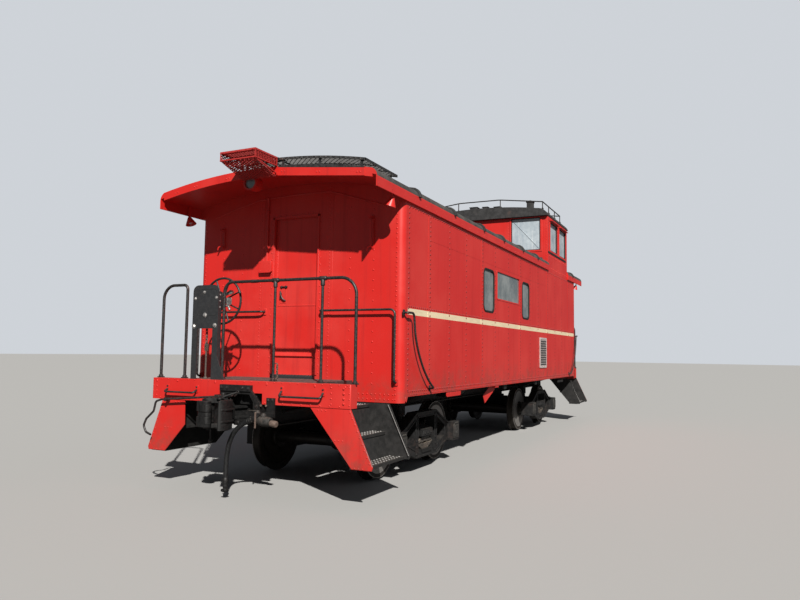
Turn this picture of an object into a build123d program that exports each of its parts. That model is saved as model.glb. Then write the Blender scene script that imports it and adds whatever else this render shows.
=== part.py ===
# Four-axle steel caboose with a full-width cupola, in millimetres.
# X runs along the car (its photographed end is at -X), Y across it, Z up.
# Z = 0 is the bottom of the wheel flanges, X = Y = 0 is the middle of the car.
from build123d import *
import math
import os

os.makedirs("parts", exist_ok=True)

# ---------------------------------------------------------------- driving sizes
# body
BODY_L = 9520.0          # over the end walls
BODY_W = 2940.0          # over the side walls
WALL_T = 90.0            # outer sheet, posts and lining together
SILL_Z = 1075.0          # lower edge of the side sheets
END_Z = 1009.0           # lower edge of the end sheets
PLATE_Z = 3280.0         # top of the side walls, lower edge of the eaves
CORNER_R = 85.0          # rounded vertical corners of the body
FLOOR_TOP = 1280.0
FLOOR_T = 60.0
# roof
ROOF_END = 5475.0        # half length over the roof
ROOF_Y = 1500.0          # half width over the eaves
EAVE_TOP = 3380.0        # top of the upright part of the eave
SHOULDER = (1440.0, 3475.0)
CROWN = 3625.0
ROOF_T = 70.0
# end platforms
BEAM_X = 5637.0          # outer face of the end beams
BEAM_Y = 1328.0
BEAM_Z = (1002.0, 1241.0)
DECK_Z = 1245.0
WELL_Y = 840.0           # inner side of the stepwells
# cupola
CUP_X = (2075.0, 3905.0)
CUP_EAVE = 4415.0
CUP_T = 80.0
# running gear
RAIL_Z = 25.0            # top of rail, one flange depth above Z = 0
WHEEL_R = 419.0          # 33 inch wheel
FLANGE_R = 444.0
AXLE_Z = RAIL_Z + WHEEL_R
TRUCK_X = 3120.0         # half the distance between truck centres
WHEELBASE = 1780.0
JOURNAL_Y = 990.0        # half the distance between journal centres
PLATE_TRUCK_Z = 679.0    # top of the truck's centre plate
# doors
DOOR_Y = (-331.0, 292.0)
DOOR_Z = (1290.0, 3186.0)
DOOR_T = 45.0
# pipes
RAIL_R = 17.0            # end railings
GRAB_R = 13.0            # grab irons and handrails

HX, HY = BODY_L / 2, BODY_W / 2
HB = WHEELBASE / 2


# ---------------------------------------------------------------- helpers
def block(x, y, z, mode=Mode.ADD):
    """A box between the low and high corner, given as three (low, high) pairs."""
    with Locations(((x[0] + x[1]) / 2, (y[0] + y[1]) / 2, (z[0] + z[1]) / 2)):
        Box(x[1] - x[0], y[1] - y[0], z[1] - z[0], mode=mode)


def pipe(points, radius, bends):
    """A round bar along straight runs and tangent arcs."""
    with BuildLine() as route:
        if len(points) == 2:
            Line(*points)
        else:
            FilletPolyline(*points, radius=bends)
    with BuildSketch(Plane(origin=route.line @ 0, z_dir=route.line % 0)) as section:
        Circle(radius)
    sweep(sections=section.sketch, path=route.line)


def finish(work, label):
    work.part.label = label
    export_step(work.part, f"parts/{label}.step")


def both_ends(work, name):
    """One node: the piece at the -X end, and its copy turned half a circle at the +X end."""
    with BuildPart() as pair:
        add(work.part)
        add(work.part.rotate(Axis.Z, 180))
    finish(pair, name)


def each_end(work, name):
    """Two nodes: the piece at the -X end (b), and its turned copy at the +X end (a)."""
    finish(work, f"{name}_b")
    with BuildPart() as turned:
        add(work.part.rotate(Axis.Z, 180))
    finish(turned, f"{name}_a")


def four_corners(work, name):
    """One node: the piece at the -X, -Y corner and its copies at the other three."""
    with BuildPart() as group:
        for piece in (work.part, mirror(work.part, about=Plane.XZ, mode=Mode.PRIVATE)):
            add(piece)
            add(piece.rotate(Axis.Z, 180))
    finish(group, name)


def both_sides(work, name):
    """One node: the piece on the -Y side and its mirror image on the +Y side."""
    with BuildPart() as pair:
        add(work.part)
        add(mirror(work.part, about=Plane.XZ, mode=Mode.PRIVATE))
    finish(pair, name)


def each_side(work, name):
    """Two nodes: the piece on the -Y side (right) and its mirror image (left)."""
    finish(work, f"{name}_right")
    with BuildPart() as mirrored:
        add(mirror(work.part, about=Plane.XZ, mode=Mode.PRIVATE))
    finish(mirrored, f"{name}_left")


# ---------------------------------------------------------------- underframe
SILL_DEPTH = (745.0, 1206.0)   # the two beams of the centre sill, lowest and highest
with BuildPart() as centre_sill:
    for side in (-1, 1):
        block((-5500, 5500), sorted((side * 145, side * 163)), SILL_DEPTH)
        block((-5500, 5500), sorted((side * 145, side * 235)), (SILL_DEPTH[0], SILL_DEPTH[0] + 18))
finish(centre_sill, "centre_sill")

with BuildPart() as cover_plate:                        # closes the top of the centre sill
    block((-5500, 5500), (-235, 235), (SILL_DEPTH[1], SILL_DEPTH[1] + 14))
finish(cover_plate, "sill_cover_plate")

with BuildPart() as centre_plate:                       # filler castings that stand on the trucks
    block((-TRUCK_X - 200, -TRUCK_X + 200), (-145, 145), SILL_DEPTH)
    with Locations((-TRUCK_X, 0, (PLATE_TRUCK_Z + 0.5 + SILL_DEPTH[0]) / 2)):
        Cylinder(170, SILL_DEPTH[0] - PLATE_TRUCK_Z - 0.5)
both_ends(centre_plate, "centre_plates")

with BuildPart() as side_sill:
    block((-HX + WALL_T, HX - WALL_T), (-HY + 12, -1290), (SILL_Z + 5, 1220))
both_sides(side_sill, "side_sills")

# cross members: x, half length along x, depth at the centre sill, depth at the side sill
CROSS = [(-TRUCK_X, 190, 860, 1040), (-1500, 70, 940, 1075), (0, 70, 940, 1075),
         (1500, 70, 940, 1075), (TRUCK_X, 190, 860, 1040)]
with BuildPart() as cross_bearer:
    for x, half, z_in, z_out in CROSS:
        with BuildSketch(Plane.YZ.offset(x - half)):
            Polygon((-163, SILL_DEPTH[1]), (-163, z_in), (-700, z_in + 20), (-1290, z_out + 40),
                    (-1290, SILL_DEPTH[1]), align=None)
        extrude(amount=2 * half)
    for x in (-HX + 145, HX - 145):                      # cross members under the end walls
        block((x - 50, x + 50), (-1290, -163), (1020, SILL_DEPTH[1]))
both_sides(cross_bearer, "cross_bearers")

with BuildPart() as side_bearing:                        # they rest on the truck bolsters in curves
    for x, half, z_in, z_out in (CROSS[0], CROSS[-1]):
        with BuildSketch(Plane.YZ.offset(x - 90)):
            Polygon((-575, 708), (-575, z_in + 20 * (575 - 163) / 537),
                    (-695, z_in + 20 * (695 - 163) / 537), (-695, 708), align=None)
        extrude(amount=180)
both_sides(side_bearing, "side_bearings")

with BuildPart() as cabin_floor:
    block((-HX + WALL_T, HX - WALL_T), (-HY + WALL_T, HY - WALL_T),
          (FLOOR_TOP - FLOOR_T, FLOOR_TOP))
finish(cabin_floor, "cabin_floor")

# ---------------------------------------------------------------- side walls
# windows in the side: x low, x high, z low, z high, corner radius
SIDE_WIN = [(-1987, -1484, 2205, 2850, 95),
            (-1330, -45, 2432, 2878, 22),
            (122, 588, 2205, 2850, 95)]
with BuildPart() as side_wall:
    block((-HX + WALL_T, HX - WALL_T), (-HY, -HY + WALL_T), (1220, PLATE_Z))
    block((-HX + WALL_T, HX - WALL_T), (-HY, -HY + 12), (SILL_Z, 1220))
    for x0, x1, z0, z1, r in SIDE_WIN:
        with BuildSketch(Plane.XZ.offset(HY + 1)):
            with Locations(((x0 + x1) / 2, (z0 + z1) / 2)):
                RectangleRounded(x1 - x0, z1 - z0, r)
        extrude(amount=-(WALL_T + 2), mode=Mode.SUBTRACT)
each_side(side_wall, "side_wall")

with BuildPart() as side_windows:
    for x0, x1, z0, z1, r in SIDE_WIN:
        with BuildSketch(Plane.XZ.offset(HY - 12)):
            with Locations(((x0 + x1) / 2, (z0 + z1) / 2)):
                RectangleRounded(x1 - x0, z1 - z0, r)
        extrude(amount=-8)
both_sides(side_windows, "side_windows")


# ---------------------------------------------------------------- end walls and doors
def roof_underside():
    """Upper edge of the cross walls: flat on the wall plates, arched between them."""
    inner = HY - WALL_T
    rise = 3385.0
    Line((inner, PLATE_Z), (inner, rise))
    ThreePointArc((inner, rise), (0, CROWN - ROOF_T), (-inner, rise))
    Line((-inner, rise), (-inner, PLATE_Z))


HINGE = (-HX + 100.0, DOOR_Y[0] - 9.0)       # hinge line (x, y), inside the cabin
HINGE_Z = (1520.0, 2238.0, 2956.0)
with BuildPart() as end_wall:
    with BuildSketch(Plane.YZ.offset(-HX)):
        with BuildLine():
            roof_underside()
            Polyline((-(HY - WALL_T), PLATE_Z), (-HY, PLATE_Z), (-HY, END_Z), (HY, END_Z),
                     (HY, PLATE_Z), (HY - WALL_T, PLATE_Z))
        make_face()
    extrude(amount=WALL_T)
    fillet(end_wall.edges().filter_by(Axis.Z).filter_by(
        lambda e: abs(e.center().X + HX) < 1 and abs(abs(e.center().Y) - HY) < 1), CORNER_R)
    block((-HX - 1, -HX + WALL_T + 1), DOOR_Y, DOOR_Z, mode=Mode.SUBTRACT)
    # the inner half of the doorway is wider, and the leaf swings in it
    block((-HX + 30, -HX + WALL_T + 1), (DOOR_Y[0] - 35, DOOR_Y[1] + 35),
          (DOOR_Z[0] - 10, DOOR_Z[1] + 35), mode=Mode.SUBTRACT)
    for z in HINGE_Z:                                    # fixed halves of the hinges
        for z0 in (z - 64, z + 34):
            with Locations((*HINGE, z0 + 15)):
                Cylinder(9, 30)
            block((-HX + WALL_T, HINGE[0]), (HINGE[1] - 60, HINGE[1]), (z0, z0 + 30))
    # the centre sill passes under
    block((-HX - 1, -HX + WALL_T + 1), (-240, 240), (END_Z - 1, 1222), mode=Mode.SUBTRACT)
each_end(end_wall, "end_wall")

with BuildPart() as end_door:
    block((-HX + 36, -HX + 36 + DOOR_T), (DOOR_Y[0] - 6, DOOR_Y[1] + 25),
          (DOOR_Z[0] - 4, DOOR_Z[1] + 28))
    for z in HINGE_Z:
        with Locations((*HINGE, z)):
            Cylinder(9, 60)
        block((-HX + 80, -HX + 86), (HINGE[1] - 4, HINGE[1] + 60), (z - 30, z + 30))
        block((-HX + 80, HINGE[0]), (HINGE[1] - 4, HINGE[1] + 4), (z - 30, z + 30))
each_end(end_door, "end_door")

# ---------------------------------------------------------------- roof
def roof_section(inside_y, inside_z, crown_in):
    """Outer skin with rolled eaves; the inside is an arch of the given size."""
    ThreePointArc((-SHOULDER[0], SHOULDER[1]), (0, CROWN), SHOULDER)
    ThreePointArc(SHOULDER, (ROOF_Y - 18, EAVE_TOP + 58), (ROOF_Y, EAVE_TOP))
    Polyline((ROOF_Y, EAVE_TOP), (ROOF_Y, PLATE_Z), (inside_y, PLATE_Z), (inside_y, inside_z))
    ThreePointArc((inside_y, inside_z), (0, crown_in), (-inside_y, inside_z))
    Polyline((-inside_y, inside_z), (-inside_y, PLATE_Z), (-ROOF_Y, PLATE_Z), (-ROOF_Y, EAVE_TOP))
    ThreePointArc((-ROOF_Y, EAVE_TOP), (-ROOF_Y + 18, EAVE_TOP + 58), (-SHOULDER[0], SHOULDER[1]))


with BuildPart() as roof:
    for x_out, x_in in ((-ROOF_END, CUP_X[0]), (ROOF_END, CUP_X[1])):
        way = 1 if x_in > x_out else -1
        wall = x_out + way * (ROOF_END - HX)
        with BuildSketch(Plane.YZ.offset(x_out)):                 # thin skin over the platform
            with BuildLine():
                roof_section(ROOF_Y - 14, 3400.0, CROWN - 32)
            make_face()
        extrude(amount=wall - x_out)
        with BuildSketch(Plane.YZ.offset(wall)):                  # insulated roof over the body
            with BuildLine():
                roof_section(HY - WALL_T, 3385.0, CROWN - ROOF_T)
            make_face()
        extrude(amount=x_in - wall)
        with BuildSketch(Plane.YZ.offset(x_out)):                 # arched fascia across the end
            with BuildLine():
                top, low = SHOULDER[1] - 6, SHOULDER[1] - 95
                ThreePointArc((-SHOULDER[0], top), (0, CROWN - 6), (SHOULDER[0], top))
                Line((SHOULDER[0], top), (SHOULDER[0], low))
                ThreePointArc((SHOULDER[0], low), (0, CROWN - 95), (-SHOULDER[0], low))
                Line((-SHOULDER[0], low), (-SHOULDER[0], top))
            make_face()
        extrude(amount=way * 14)
finish(roof, "roof")

# ---------------------------------------------------------------- cupola
# windows in each cupola side: x low, x high, z low, z high
CUP_SIDE_WIN = [(2260, 2900, 3715, 4325), (3100, 3740, 3715, 4325)]
# windows in each cupola end: y low, y high
CUP_END_WIN = [(-1320, -693), (693, 1320)]
CUP_END_Z = (3712, 4400)
with BuildPart() as cupola_side:
    block(CUP_X, (-HY, -HY + WALL_T), (PLATE_Z, CUP_EAVE))
    for x0, x1, z0, z1 in CUP_SIDE_WIN:
        block((x0, x1), (-HY - 1, -HY + WALL_T + 1), (z0, z1), mode=Mode.SUBTRACT)
both_sides(cupola_side, "cupola_sides")

with BuildPart() as cupola_ends:
    inner = HY - WALL_T
    for x0 in (CUP_X[0], CUP_X[1] - CUP_T):
        with BuildSketch(Plane.YZ.offset(x0)):
            with BuildLine():
                Polyline((-inner, 3385.0), (-inner, CUP_EAVE), (inner, CUP_EAVE), (inner, 3385.0))
                ThreePointArc((inner, 3385.0), (0, CROWN - ROOF_T), (-inner, 3385.0))
            make_face()
        extrude(amount=CUP_T)
        for y0, y1 in CUP_END_WIN:
            block((x0 - 1, x0 + CUP_T + 1), (y0, y1), CUP_END_Z, mode=Mode.SUBTRACT)
finish(cupola_ends, "cupola_ends")

with BuildPart() as cupola_windows:
    for y in (-HY + 22, HY - 30):
        for x0, x1, z0, z1 in CUP_SIDE_WIN:
            block((x0, x1), (y, y + 8), (z0, z1))
    for x in (CUP_X[0] + 18, CUP_X[1] - 26):
        for y0, y1 in CUP_END_WIN:
            block((x, x + 8), (y0, y1), CUP_END_Z)
finish(cupola_windows, "cupola_windows")

CUP_ROOF_X = (1990.0, 3990.0)
CUP_ROOF_Y = 1480.0
CUP_SHOULDER = (1270.0, 4575.0)      # where the crown meets the rolled eave
CUP_EAVE_MID = (1400.0, 4535.0)
CUP_EDGE = 4440.0                    # top of the upright lip
CUP_CROWN = 4665.0


def cupola_crown():
    """Outer edge of the cupola roof, from lip to lip."""
    (ys, zs), (ym, zm) = CUP_SHOULDER, CUP_EAVE_MID
    Line((-CUP_ROOF_Y, CUP_EAVE), (-CUP_ROOF_Y, CUP_EDGE))
    ThreePointArc((-CUP_ROOF_Y, CUP_EDGE), (-ym, zm), (-ys, zs))
    ThreePointArc((-ys, zs), (0, CUP_CROWN), (ys, zs))
    ThreePointArc((ys, zs), (ym, zm), (CUP_ROOF_Y, CUP_EDGE))
    Line((CUP_ROOF_Y, CUP_EDGE), (CUP_ROOF_Y, CUP_EAVE))


with BuildPart() as cupola_roof:
    inner = HY - WALL_T
    with BuildSketch(Plane.YZ.offset(CUP_ROOF_X[0])):
        with BuildLine():
            cupola_crown()
            Polyline((CUP_ROOF_Y, CUP_EAVE), (inner, CUP_EAVE), (inner, 4480))
            ThreePointArc((inner, 4480), (0, CUP_CROWN - 70), (-inner, 4480))
            Polyline((-inner, 4480), (-inner, CUP_EAVE), (-CUP_ROOF_Y, CUP_EAVE))
        make_face()
    extrude(amount=CUP_ROOF_X[1] - CUP_ROOF_X[0])
    for x0, way in ((CUP_ROOF_X[0], 1), (CUP_ROOF_X[1], -1)):    # boxed ends, flat below
        with BuildSketch(Plane.YZ.offset(x0)):
            with BuildLine():
                cupola_crown()
                Line((CUP_ROOF_Y, CUP_EAVE), (-CUP_ROOF_Y, CUP_EAVE))
            make_face()
        extrude(amount=way * 50)
finish(cupola_roof, "cupola_roof")

# pipe rail round the edge of the cupola roof: two bowed ends, two straight sides, posts
with BuildPart() as cupola_railing:
    y_r, x0, x1 = 1370.0, 2040.0, 3640.0
    z_side, z_mid = 4708.0, 4822.0
    pipe([(x0, -y_r, z_side), (x1, -y_r, z_side)], 12, 0)
    pipe([(x0, y_r, z_side), (x1, y_r, z_side)], 12, 0)
    for x in (x0, x1):
        pipe([(x, -y_r, z_side), (x, -450, z_mid), (x, 450, z_mid), (x, y_r, z_side)], 12, [900, 900])
        for y, z in ((-y_r, z_side), (-470, z_mid), (470, z_mid), (y_r, z_side)):
            pipe([(x, y, 4564 if abs(y) > 1000 else 4658), (x, y, z)], 10, 0)
    for x in (2570, 3110):
        for y in (-y_r, y_r):
            pipe([(x, y, 4564), (x, y, z_side)], 10, 0)
finish(cupola_railing, "cupola_railing")

# ---------------------------------------------------------------- roof walks
WALK_Y = 240.0
WALK_Z = (3695.0, 3725.0)
ROOF_R = (SHOULDER[0] ** 2 + (CROWN - SHOULDER[1]) ** 2) / (2 * (CROWN - SHOULDER[1]))


def over_roof(r, y):
    """Point (y, z) on an arc about the main roof's centre."""
    return (y, CROWN - ROOF_R + math.sqrt(r * r - y * y))


with BuildPart() as roof_walk:           # running boards along the crown, on saddles
    for x0, x1 in ((-ROOF_END + 6, CUP_X[0] - 30), (CUP_X[1] + 30, ROOF_END - 6)):
        block((x0, x1), (-WALK_Y, WALK_Y), WALK_Z)
        saddles = max(2, round((x1 - x0) / 1100) + 1)
        for i in range(saddles):
            x = x0 + 40 + i * (x1 - x0 - 80) / (saddles - 1)
            block((x - 20, x + 20), (-WALK_Y, WALK_Y), (CROWN + 1, WALK_Z[0]))
with BuildPart() as corner_walk:         # curved grating beside them, over one corner of each end
    low, high = ROOF_R + 72, ROOF_R + 100
    with BuildSketch(Plane.YZ.offset(-ROOF_END + 10)):
        with BuildLine():
            ThreePointArc(over_roof(high, -1355), over_roof(high, -800), over_roof(high, -255))
            Line(over_roof(high, -255), over_roof(low, -255))
            ThreePointArc(over_roof(low, -255), over_roof(low, -800), over_roof(low, -1355))
            Line(over_roof(low, -1355), over_roof(high, -1355))
        make_face()
    extrude(amount=760)
    for y in (-1300, -780, -300):
        z = over_roof(ROOF_R + 74, y)[1]
        for x in (-ROOF_END + 40, -ROOF_END + 710):
            block((x - 12, x + 12), (y - 12, y + 12), (z - 67, z))
with BuildPart() as roof_gratings:
    add(roof_walk.part)
    add(corner_walk.part)
    add(corner_walk.part.rotate(Axis.Z, 180))
finish(roof_gratings, "roof_walks")

with BuildPart() as roof_step:           # red end of the running board, past the roof
    block((-5870, -ROOF_END - 2), (-WALK_Y, WALK_Y), (3690, 3720))
    block((-5870, -5862), (-WALK_Y, WALK_Y), (3622, 3725))
    for side in (-1, 1):
        block((-5870, -ROOF_END - 2), sorted((side * WALK_Y, side * (WALK_Y - 8))), (3622, 3725))
        pipe([(-5800, side * 225, 3630), (-ROOF_END - 8, side * 225, 3548)], 9, 0)
both_ends(roof_step, "roof_steps")

# ---------------------------------------------------------------- end platforms
with BuildPart() as end_beam:
    block((-BEAM_X, -BEAM_X + 14), (-BEAM_Y, BEAM_Y), BEAM_Z)
    block((-BEAM_X, -BEAM_X + 130), (-BEAM_Y, BEAM_Y), (BEAM_Z[1] - 14, BEAM_Z[1]))
    block((-BEAM_X, -BEAM_X + 90), (-BEAM_Y, BEAM_Y), (BEAM_Z[0], BEAM_Z[0] + 14))
    for side in (-1, 1):
        block((-BEAM_X, -BEAM_X + 130), sorted((side * BEAM_Y, side * (BEAM_Y - 14))), BEAM_Z)
    fillet(end_beam.edges().filter_by(Axis.Z).filter_by(
        lambda e: abs(e.center().X + BEAM_X) < 1 and abs(abs(e.center().Y) - BEAM_Y) < 1), 13)
    # notch over the coupler
    block((-BEAM_X - 1, -BEAM_X + 140), (-245, 285), (BEAM_Z[0] - 1, 1115), mode=Mode.SUBTRACT)
both_ends(end_beam, "end_beams")

with BuildPart() as platform:
    block((-BEAM_X + 134, -HX - 1), (-WELL_Y, WELL_Y), (DECK_Z - 14, DECK_Z))
    for side in (-1, 1):
        block((-BEAM_X + 134, -HX - 1), sorted((side * WELL_Y, side * (WELL_Y - 12))), (1009, DECK_Z - 14))
        block((-BEAM_X + 134, -HX - 1), sorted((side * 520, side * 560)), (1130, DECK_Z - 14))
both_ends(platform, "platforms")

# steps. Each kind: stringer outline (y, z) and treads (y inside, y outside, top z)
WIDE_STEPS = ([(-845, 1002), (-1326, 1002), (-1585, 450), (-1573, 415), (-1345, 415)],
              [(-868, -1075, 988), (-1106, -1280, 697), (-1322, -1512, 440)])
BENT_STEPS = ([(-836, 1002), (-1168, 1002), (-1372, 450), (-1360, 415), (-1112, 415), (-826, 726)],
              [(-846, -1012, 988), (-932, -1160, 697), (-1108, -1318, 440)])


def stepwell(kind):
    """Stringers, treads and raked risers of the steps at the -X, -Y corner."""
    outline, treads = kind
    for x in (-BEAM_X + 8, -HX - 10):
        with BuildSketch(Plane.YZ.offset(x)) as stringer:
            Polygon(*outline, align=None)
        extrude(stringer.sketch, amount=8)
    for y_in, y_out, z in treads:
        block((-BEAM_X + 16, -HX - 10), (y_out, y_in), (z - 30, z))
    for (_, y_top, z_top), (y_low, _, z_low) in zip(treads, treads[1:]):
        with BuildSketch(Plane.YZ.offset(-BEAM_X + 16)) as riser:
            Polygon((y_top + 14, z_top - 28), (y_top + 21, z_top - 28), (y_low, z_low - 2),
                    (y_low - 7, z_low - 2), align=None)
        extrude(riser.sketch, amount=BEAM_X - 16 - HX - 10)


with BuildPart() as wide_steps:
    stepwell(WIDE_STEPS)
with BuildPart() as bent_steps:
    stepwell(BENT_STEPS)
with BuildPart() as steps:       # the set beside the hand brake at the -X end is bent inwards
    add(wide_steps.part)
    add(wide_steps.part.rotate(Axis.Z, 180))
    add(mirror(bent_steps.part, about=Plane.XZ, mode=Mode.PRIVATE))
    add(mirror(wide_steps.part, about=Plane.YZ, mode=Mode.PRIVATE))
finish(steps, "steps")

# railings on the end beam
RAILING_X = -5530.0
RAILING_TOP = 2335.0
with BuildPart() as end_railing:
    foot = BEAM_Z[1] + 0.0
    pipe([(RAILING_X, -1313, foot + 2), (RAILING_X, -1313, RAILING_TOP), (RAILING_X, 400, RAILING_TOP),
          (RAILING_X, 400, foot + 2)], RAIL_R, [185, 110])
    for y in (-905, -300):
        pipe([(RAILING_X, y, foot + 2), (RAILING_X, y, RAILING_TOP)], RAIL_R - 2, 0)
    for y in (-1313, -905, -300, 400):
        block((RAILING_X - 22, RAILING_X + 22), (y - 36, y + 36), (foot, foot + 12))
    pipe([(RAILING_X, 1313, foot + 2), (RAILING_X, 1313, RAILING_TOP - 12), (RAILING_X, 948, RAILING_TOP - 12),
          (RAILING_X, 948, foot + 2)], RAIL_R, [160, 55])
    for y in (1313, 948):
        block((RAILING_X - 22, RAILING_X + 22), (y - 36, y + 36), (foot, foot + 12))
both_ends(end_railing, "end_railings")

# hand brake
BRAKE_Y = 600.0
STAND_X = -5612.0
WHEEL_YZ = (BRAKE_Y - 45.0, 2139.0)
STAND_W, LEG_W = 370.0, 75.0
with BuildPart() as brake_stand:
    with BuildSketch(Plane.YZ.offset(STAND_X)):
        with Locations((BRAKE_Y, (1811 + 2303) / 2)):
            RectangleRounded(STAND_W, 2303 - 1811, 74)
    extrude(amount=12)
    for side in (-1, 1):
        inner, outer = BRAKE_Y + side * (STAND_W / 2 - LEG_W), BRAKE_Y + side * STAND_W / 2
        block((STAND_X, STAND_X + 12), sorted((inner, outer)), (BEAM_Z[1], 2220))
        block((STAND_X, STAND_X + 55), sorted((outer - side * 12, outer)), (BEAM_Z[1], 2220))
    block((STAND_X + 12, STAND_X + 150), (BRAKE_Y - 110, BRAKE_Y + 60), (2020, 2235))   # gear case
    with Locations(Location((STAND_X + 206, *WHEEL_YZ), (0, 90, 0))):
        Cylinder(20, 116)                                                      # wheel shaft
    with BuildSketch(Plane.YZ.offset(STAND_X)):                                # foot gusset
        Polygon((BRAKE_Y - STAND_W / 2, BEAM_Z[1]), (BRAKE_Y - 300, BEAM_Z[1]),
                (BRAKE_Y - STAND_W / 2, 1500), align=None)
    extrude(amount=10)
both_ends(brake_stand, "brake_stands")

with BuildPart() as brake_wheel:
    wx, (wy, wz) = STAND_X + 232, WHEEL_YZ
    with BuildSketch(Plane(origin=(wx, wy + 264, wz), x_dir=(0, 1, 0), z_dir=(0, 0, 1))):
        Circle(13)
    revolve(axis=Axis((wx, wy, wz), (1, 0, 0)))
    with BuildSketch(Plane(origin=(wx - 22, wy, wz), x_dir=(0, 1, 0), z_dir=(1, 0, 0))):
        Circle(48)
        Circle(20.0, mode=Mode.SUBTRACT)
    extrude(amount=44)
    for i in range(8):
        a = math.radians(22.5 + 45 * i)
        c, n = math.cos(a), math.sin(a)
        pipe([(wx, wy + 38 * c, wz + 38 * n), (wx, wy + 262 * c, wz + 262 * n)], 9, 0)
both_ends(brake_wheel, "brake_wheels")

# grab irons on the end wall: two bent bars
# and hand holds on the beam: y of the two feet, z of the feet, z of the bar
BEAM_HOLDS = [(655, 1089, 1121, 1092), (-499, -1010, 1149, 1097)]
with BuildPart() as end_handrails:
    gx, bx = -HX - 68.0, -BEAM_X - 62.0
    for s in (-1, 1):
        pipe([(-HX - 0.2, s * 415, 2047), (gx, s * 415, 2047), (gx, s * 1405, 2047),
              (gx, s * 1405, 1240), (-HX - 0.2, s * 1397, 1240)], GRAB_R, [35, 60, 35])
    for y0, y1, z_foot, z_bar in BEAM_HOLDS:
        pipe([(-BEAM_X - 9, y0, z_foot), (bx, y0, z_bar), (bx, y1, z_bar),
              (-BEAM_X - 9, y1, z_foot)], 11, [26, 26])
both_ends(end_handrails, "end_handrails")

# curved grab irons on the sides, from the corner down to the sill: x, z, bend radius
SWEEP = [(-4742, 2014, 30), (-4592, 2016, 60), (-4556, 1770, 600), (-4470, 1585, 800),
         (-4330, 1395, 900), (-4160, 1243, 600), (-4000, 1148, 30)]
with BuildPart() as side_handrail:
    gy = -HY - 62.0
    pipe([(SWEEP[0][0], -HY - 0.2, SWEEP[0][1])] + [(x, gy, z) for x, z, r in SWEEP]
         + [(SWEEP[-1][0], -HY - 0.2, SWEEP[-1][1])], GRAB_R, [r for x, z, r in SWEEP])
four_corners(side_handrail, "side_handrails")

# lamps under the roof ends: one hooded, two cones
with BuildPart() as lamp:
    with Locations(Location((-5360, 175, 3490), (0, 90, 0))):
        Cylinder(85, 120)
    with Locations(Location((-5423, 175, 3490), (0, 90, 0))):
        Cylinder(74, 30, mode=Mode.SUBTRACT)
    for side in (-1, 1):                # shades at the eaves, tipped towards the platform
        with Locations(Location((-5020, side * 1437, 3211), (-20 * side, 0, 0))):
            Cone(68, 21, 98)
        block((-5030, -5010), sorted((side * 1446, side * 1464)), (3252, 3403))
        with Locations(Location((-5020, side * 1434, 3203), (-20 * side, 0, 0))):
            Cone(63, 24, 86, mode=Mode.SUBTRACT)
both_ends(lamp, "end_lamps")

# louvred vent low on each side near the +X end
with BuildPart() as vent:
    block((1362, 1880), (-HY - 14, -HY - 0.5), (1316, 1890))
    block((1392, 1850), (-HY - 15, -HY - 8), (1346, 1860), mode=Mode.SUBTRACT)
    for i in range(11):
        z = 1380 + i * 44.6
        with BuildSketch(Plane.YZ.offset(1392)):
            Polygon((-HY - 8, z - 14), (-HY - 8, z + 14), (-HY - 13, z - 14), align=None)
        extrude(amount=458)
both_sides(vent, "vent_louvres")

# ---------------------------------------------------------------- couplers
COUPLER_Z = 901.0
PIN = (-5905.0, 118.0)           # knuckle pin (x, y), with the coupler straight
SWING = 13.0                     # the couplers hang over to one side, turned about the butt of the shank
BUTT = Axis((-5170, 0, 0), (0, 0, 1))
# head seen from above, and the knuckle that closes it (x, y)
HEAD = [(-5800, -150), (-5800, 150), (-5840, 195), (-5960, 195), (-5975, 60), (-5830, 20),
        (-5825, -40), (-5900, -150), (-6035, -215), (-6050, -250), (-5960, -262), (-5840, -205)]
KNUCKLE = [(-5845, 162), (-5950, 162), (-6040, 150), (-6052, 90), (-6040, -18), (-5972, -28),
           (-5952, 20), (-5945, 62), (-5845, 74)]
# the tall nose in front of the knuckle, outside the circle that the lugs reach (x, y)
NOSE = [(-5972, -28), (-6040, -18), (-6052, 90), (-6040, 150), (-6003, 155), (-6009, 118),
        (-5998, 75), (-5975, 42), (-5966, 5)]
with BuildPart() as coupler:
    block((-5805, -5480), (-62, 62), (COUPLER_Z - 70, COUPLER_Z + 70))                # shank
    with BuildSketch(Plane.XY.offset(COUPLER_Z - 150)):
        Polygon(*HEAD, align=None)
    extrude(amount=300)
    # jaws: the knuckle sits between the upper and the lower lug
    block((-6100, -5818), (30, 230), (COUPLER_Z - 108, COUPLER_Z + 108), mode=Mode.SUBTRACT)
    with Locations((*PIN, COUPLER_Z)):
        Cylinder(20, 340)
with BuildPart() as swung_coupler:
    add(coupler.part.rotate(BUTT, -SWING))
both_ends(swung_coupler, "couplers")

with BuildPart() as knuckle:
    with BuildSketch(Plane.XY.offset(COUPLER_Z - 102)):
        Polygon(*KNUCKLE, align=None)
        with Locations(PIN):
            Circle(20.08, mode=Mode.SUBTRACT)
    extrude(amount=204)
    with BuildSketch(Plane.XY.offset(COUPLER_Z - 135)):
        Polygon(*NOSE, align=None)
    extrude(amount=270)
with BuildPart() as swung_knuckle:
    add(knuckle.part.rotate(BUTT, -SWING))
each_end(swung_knuckle, "knuckle")

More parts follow.
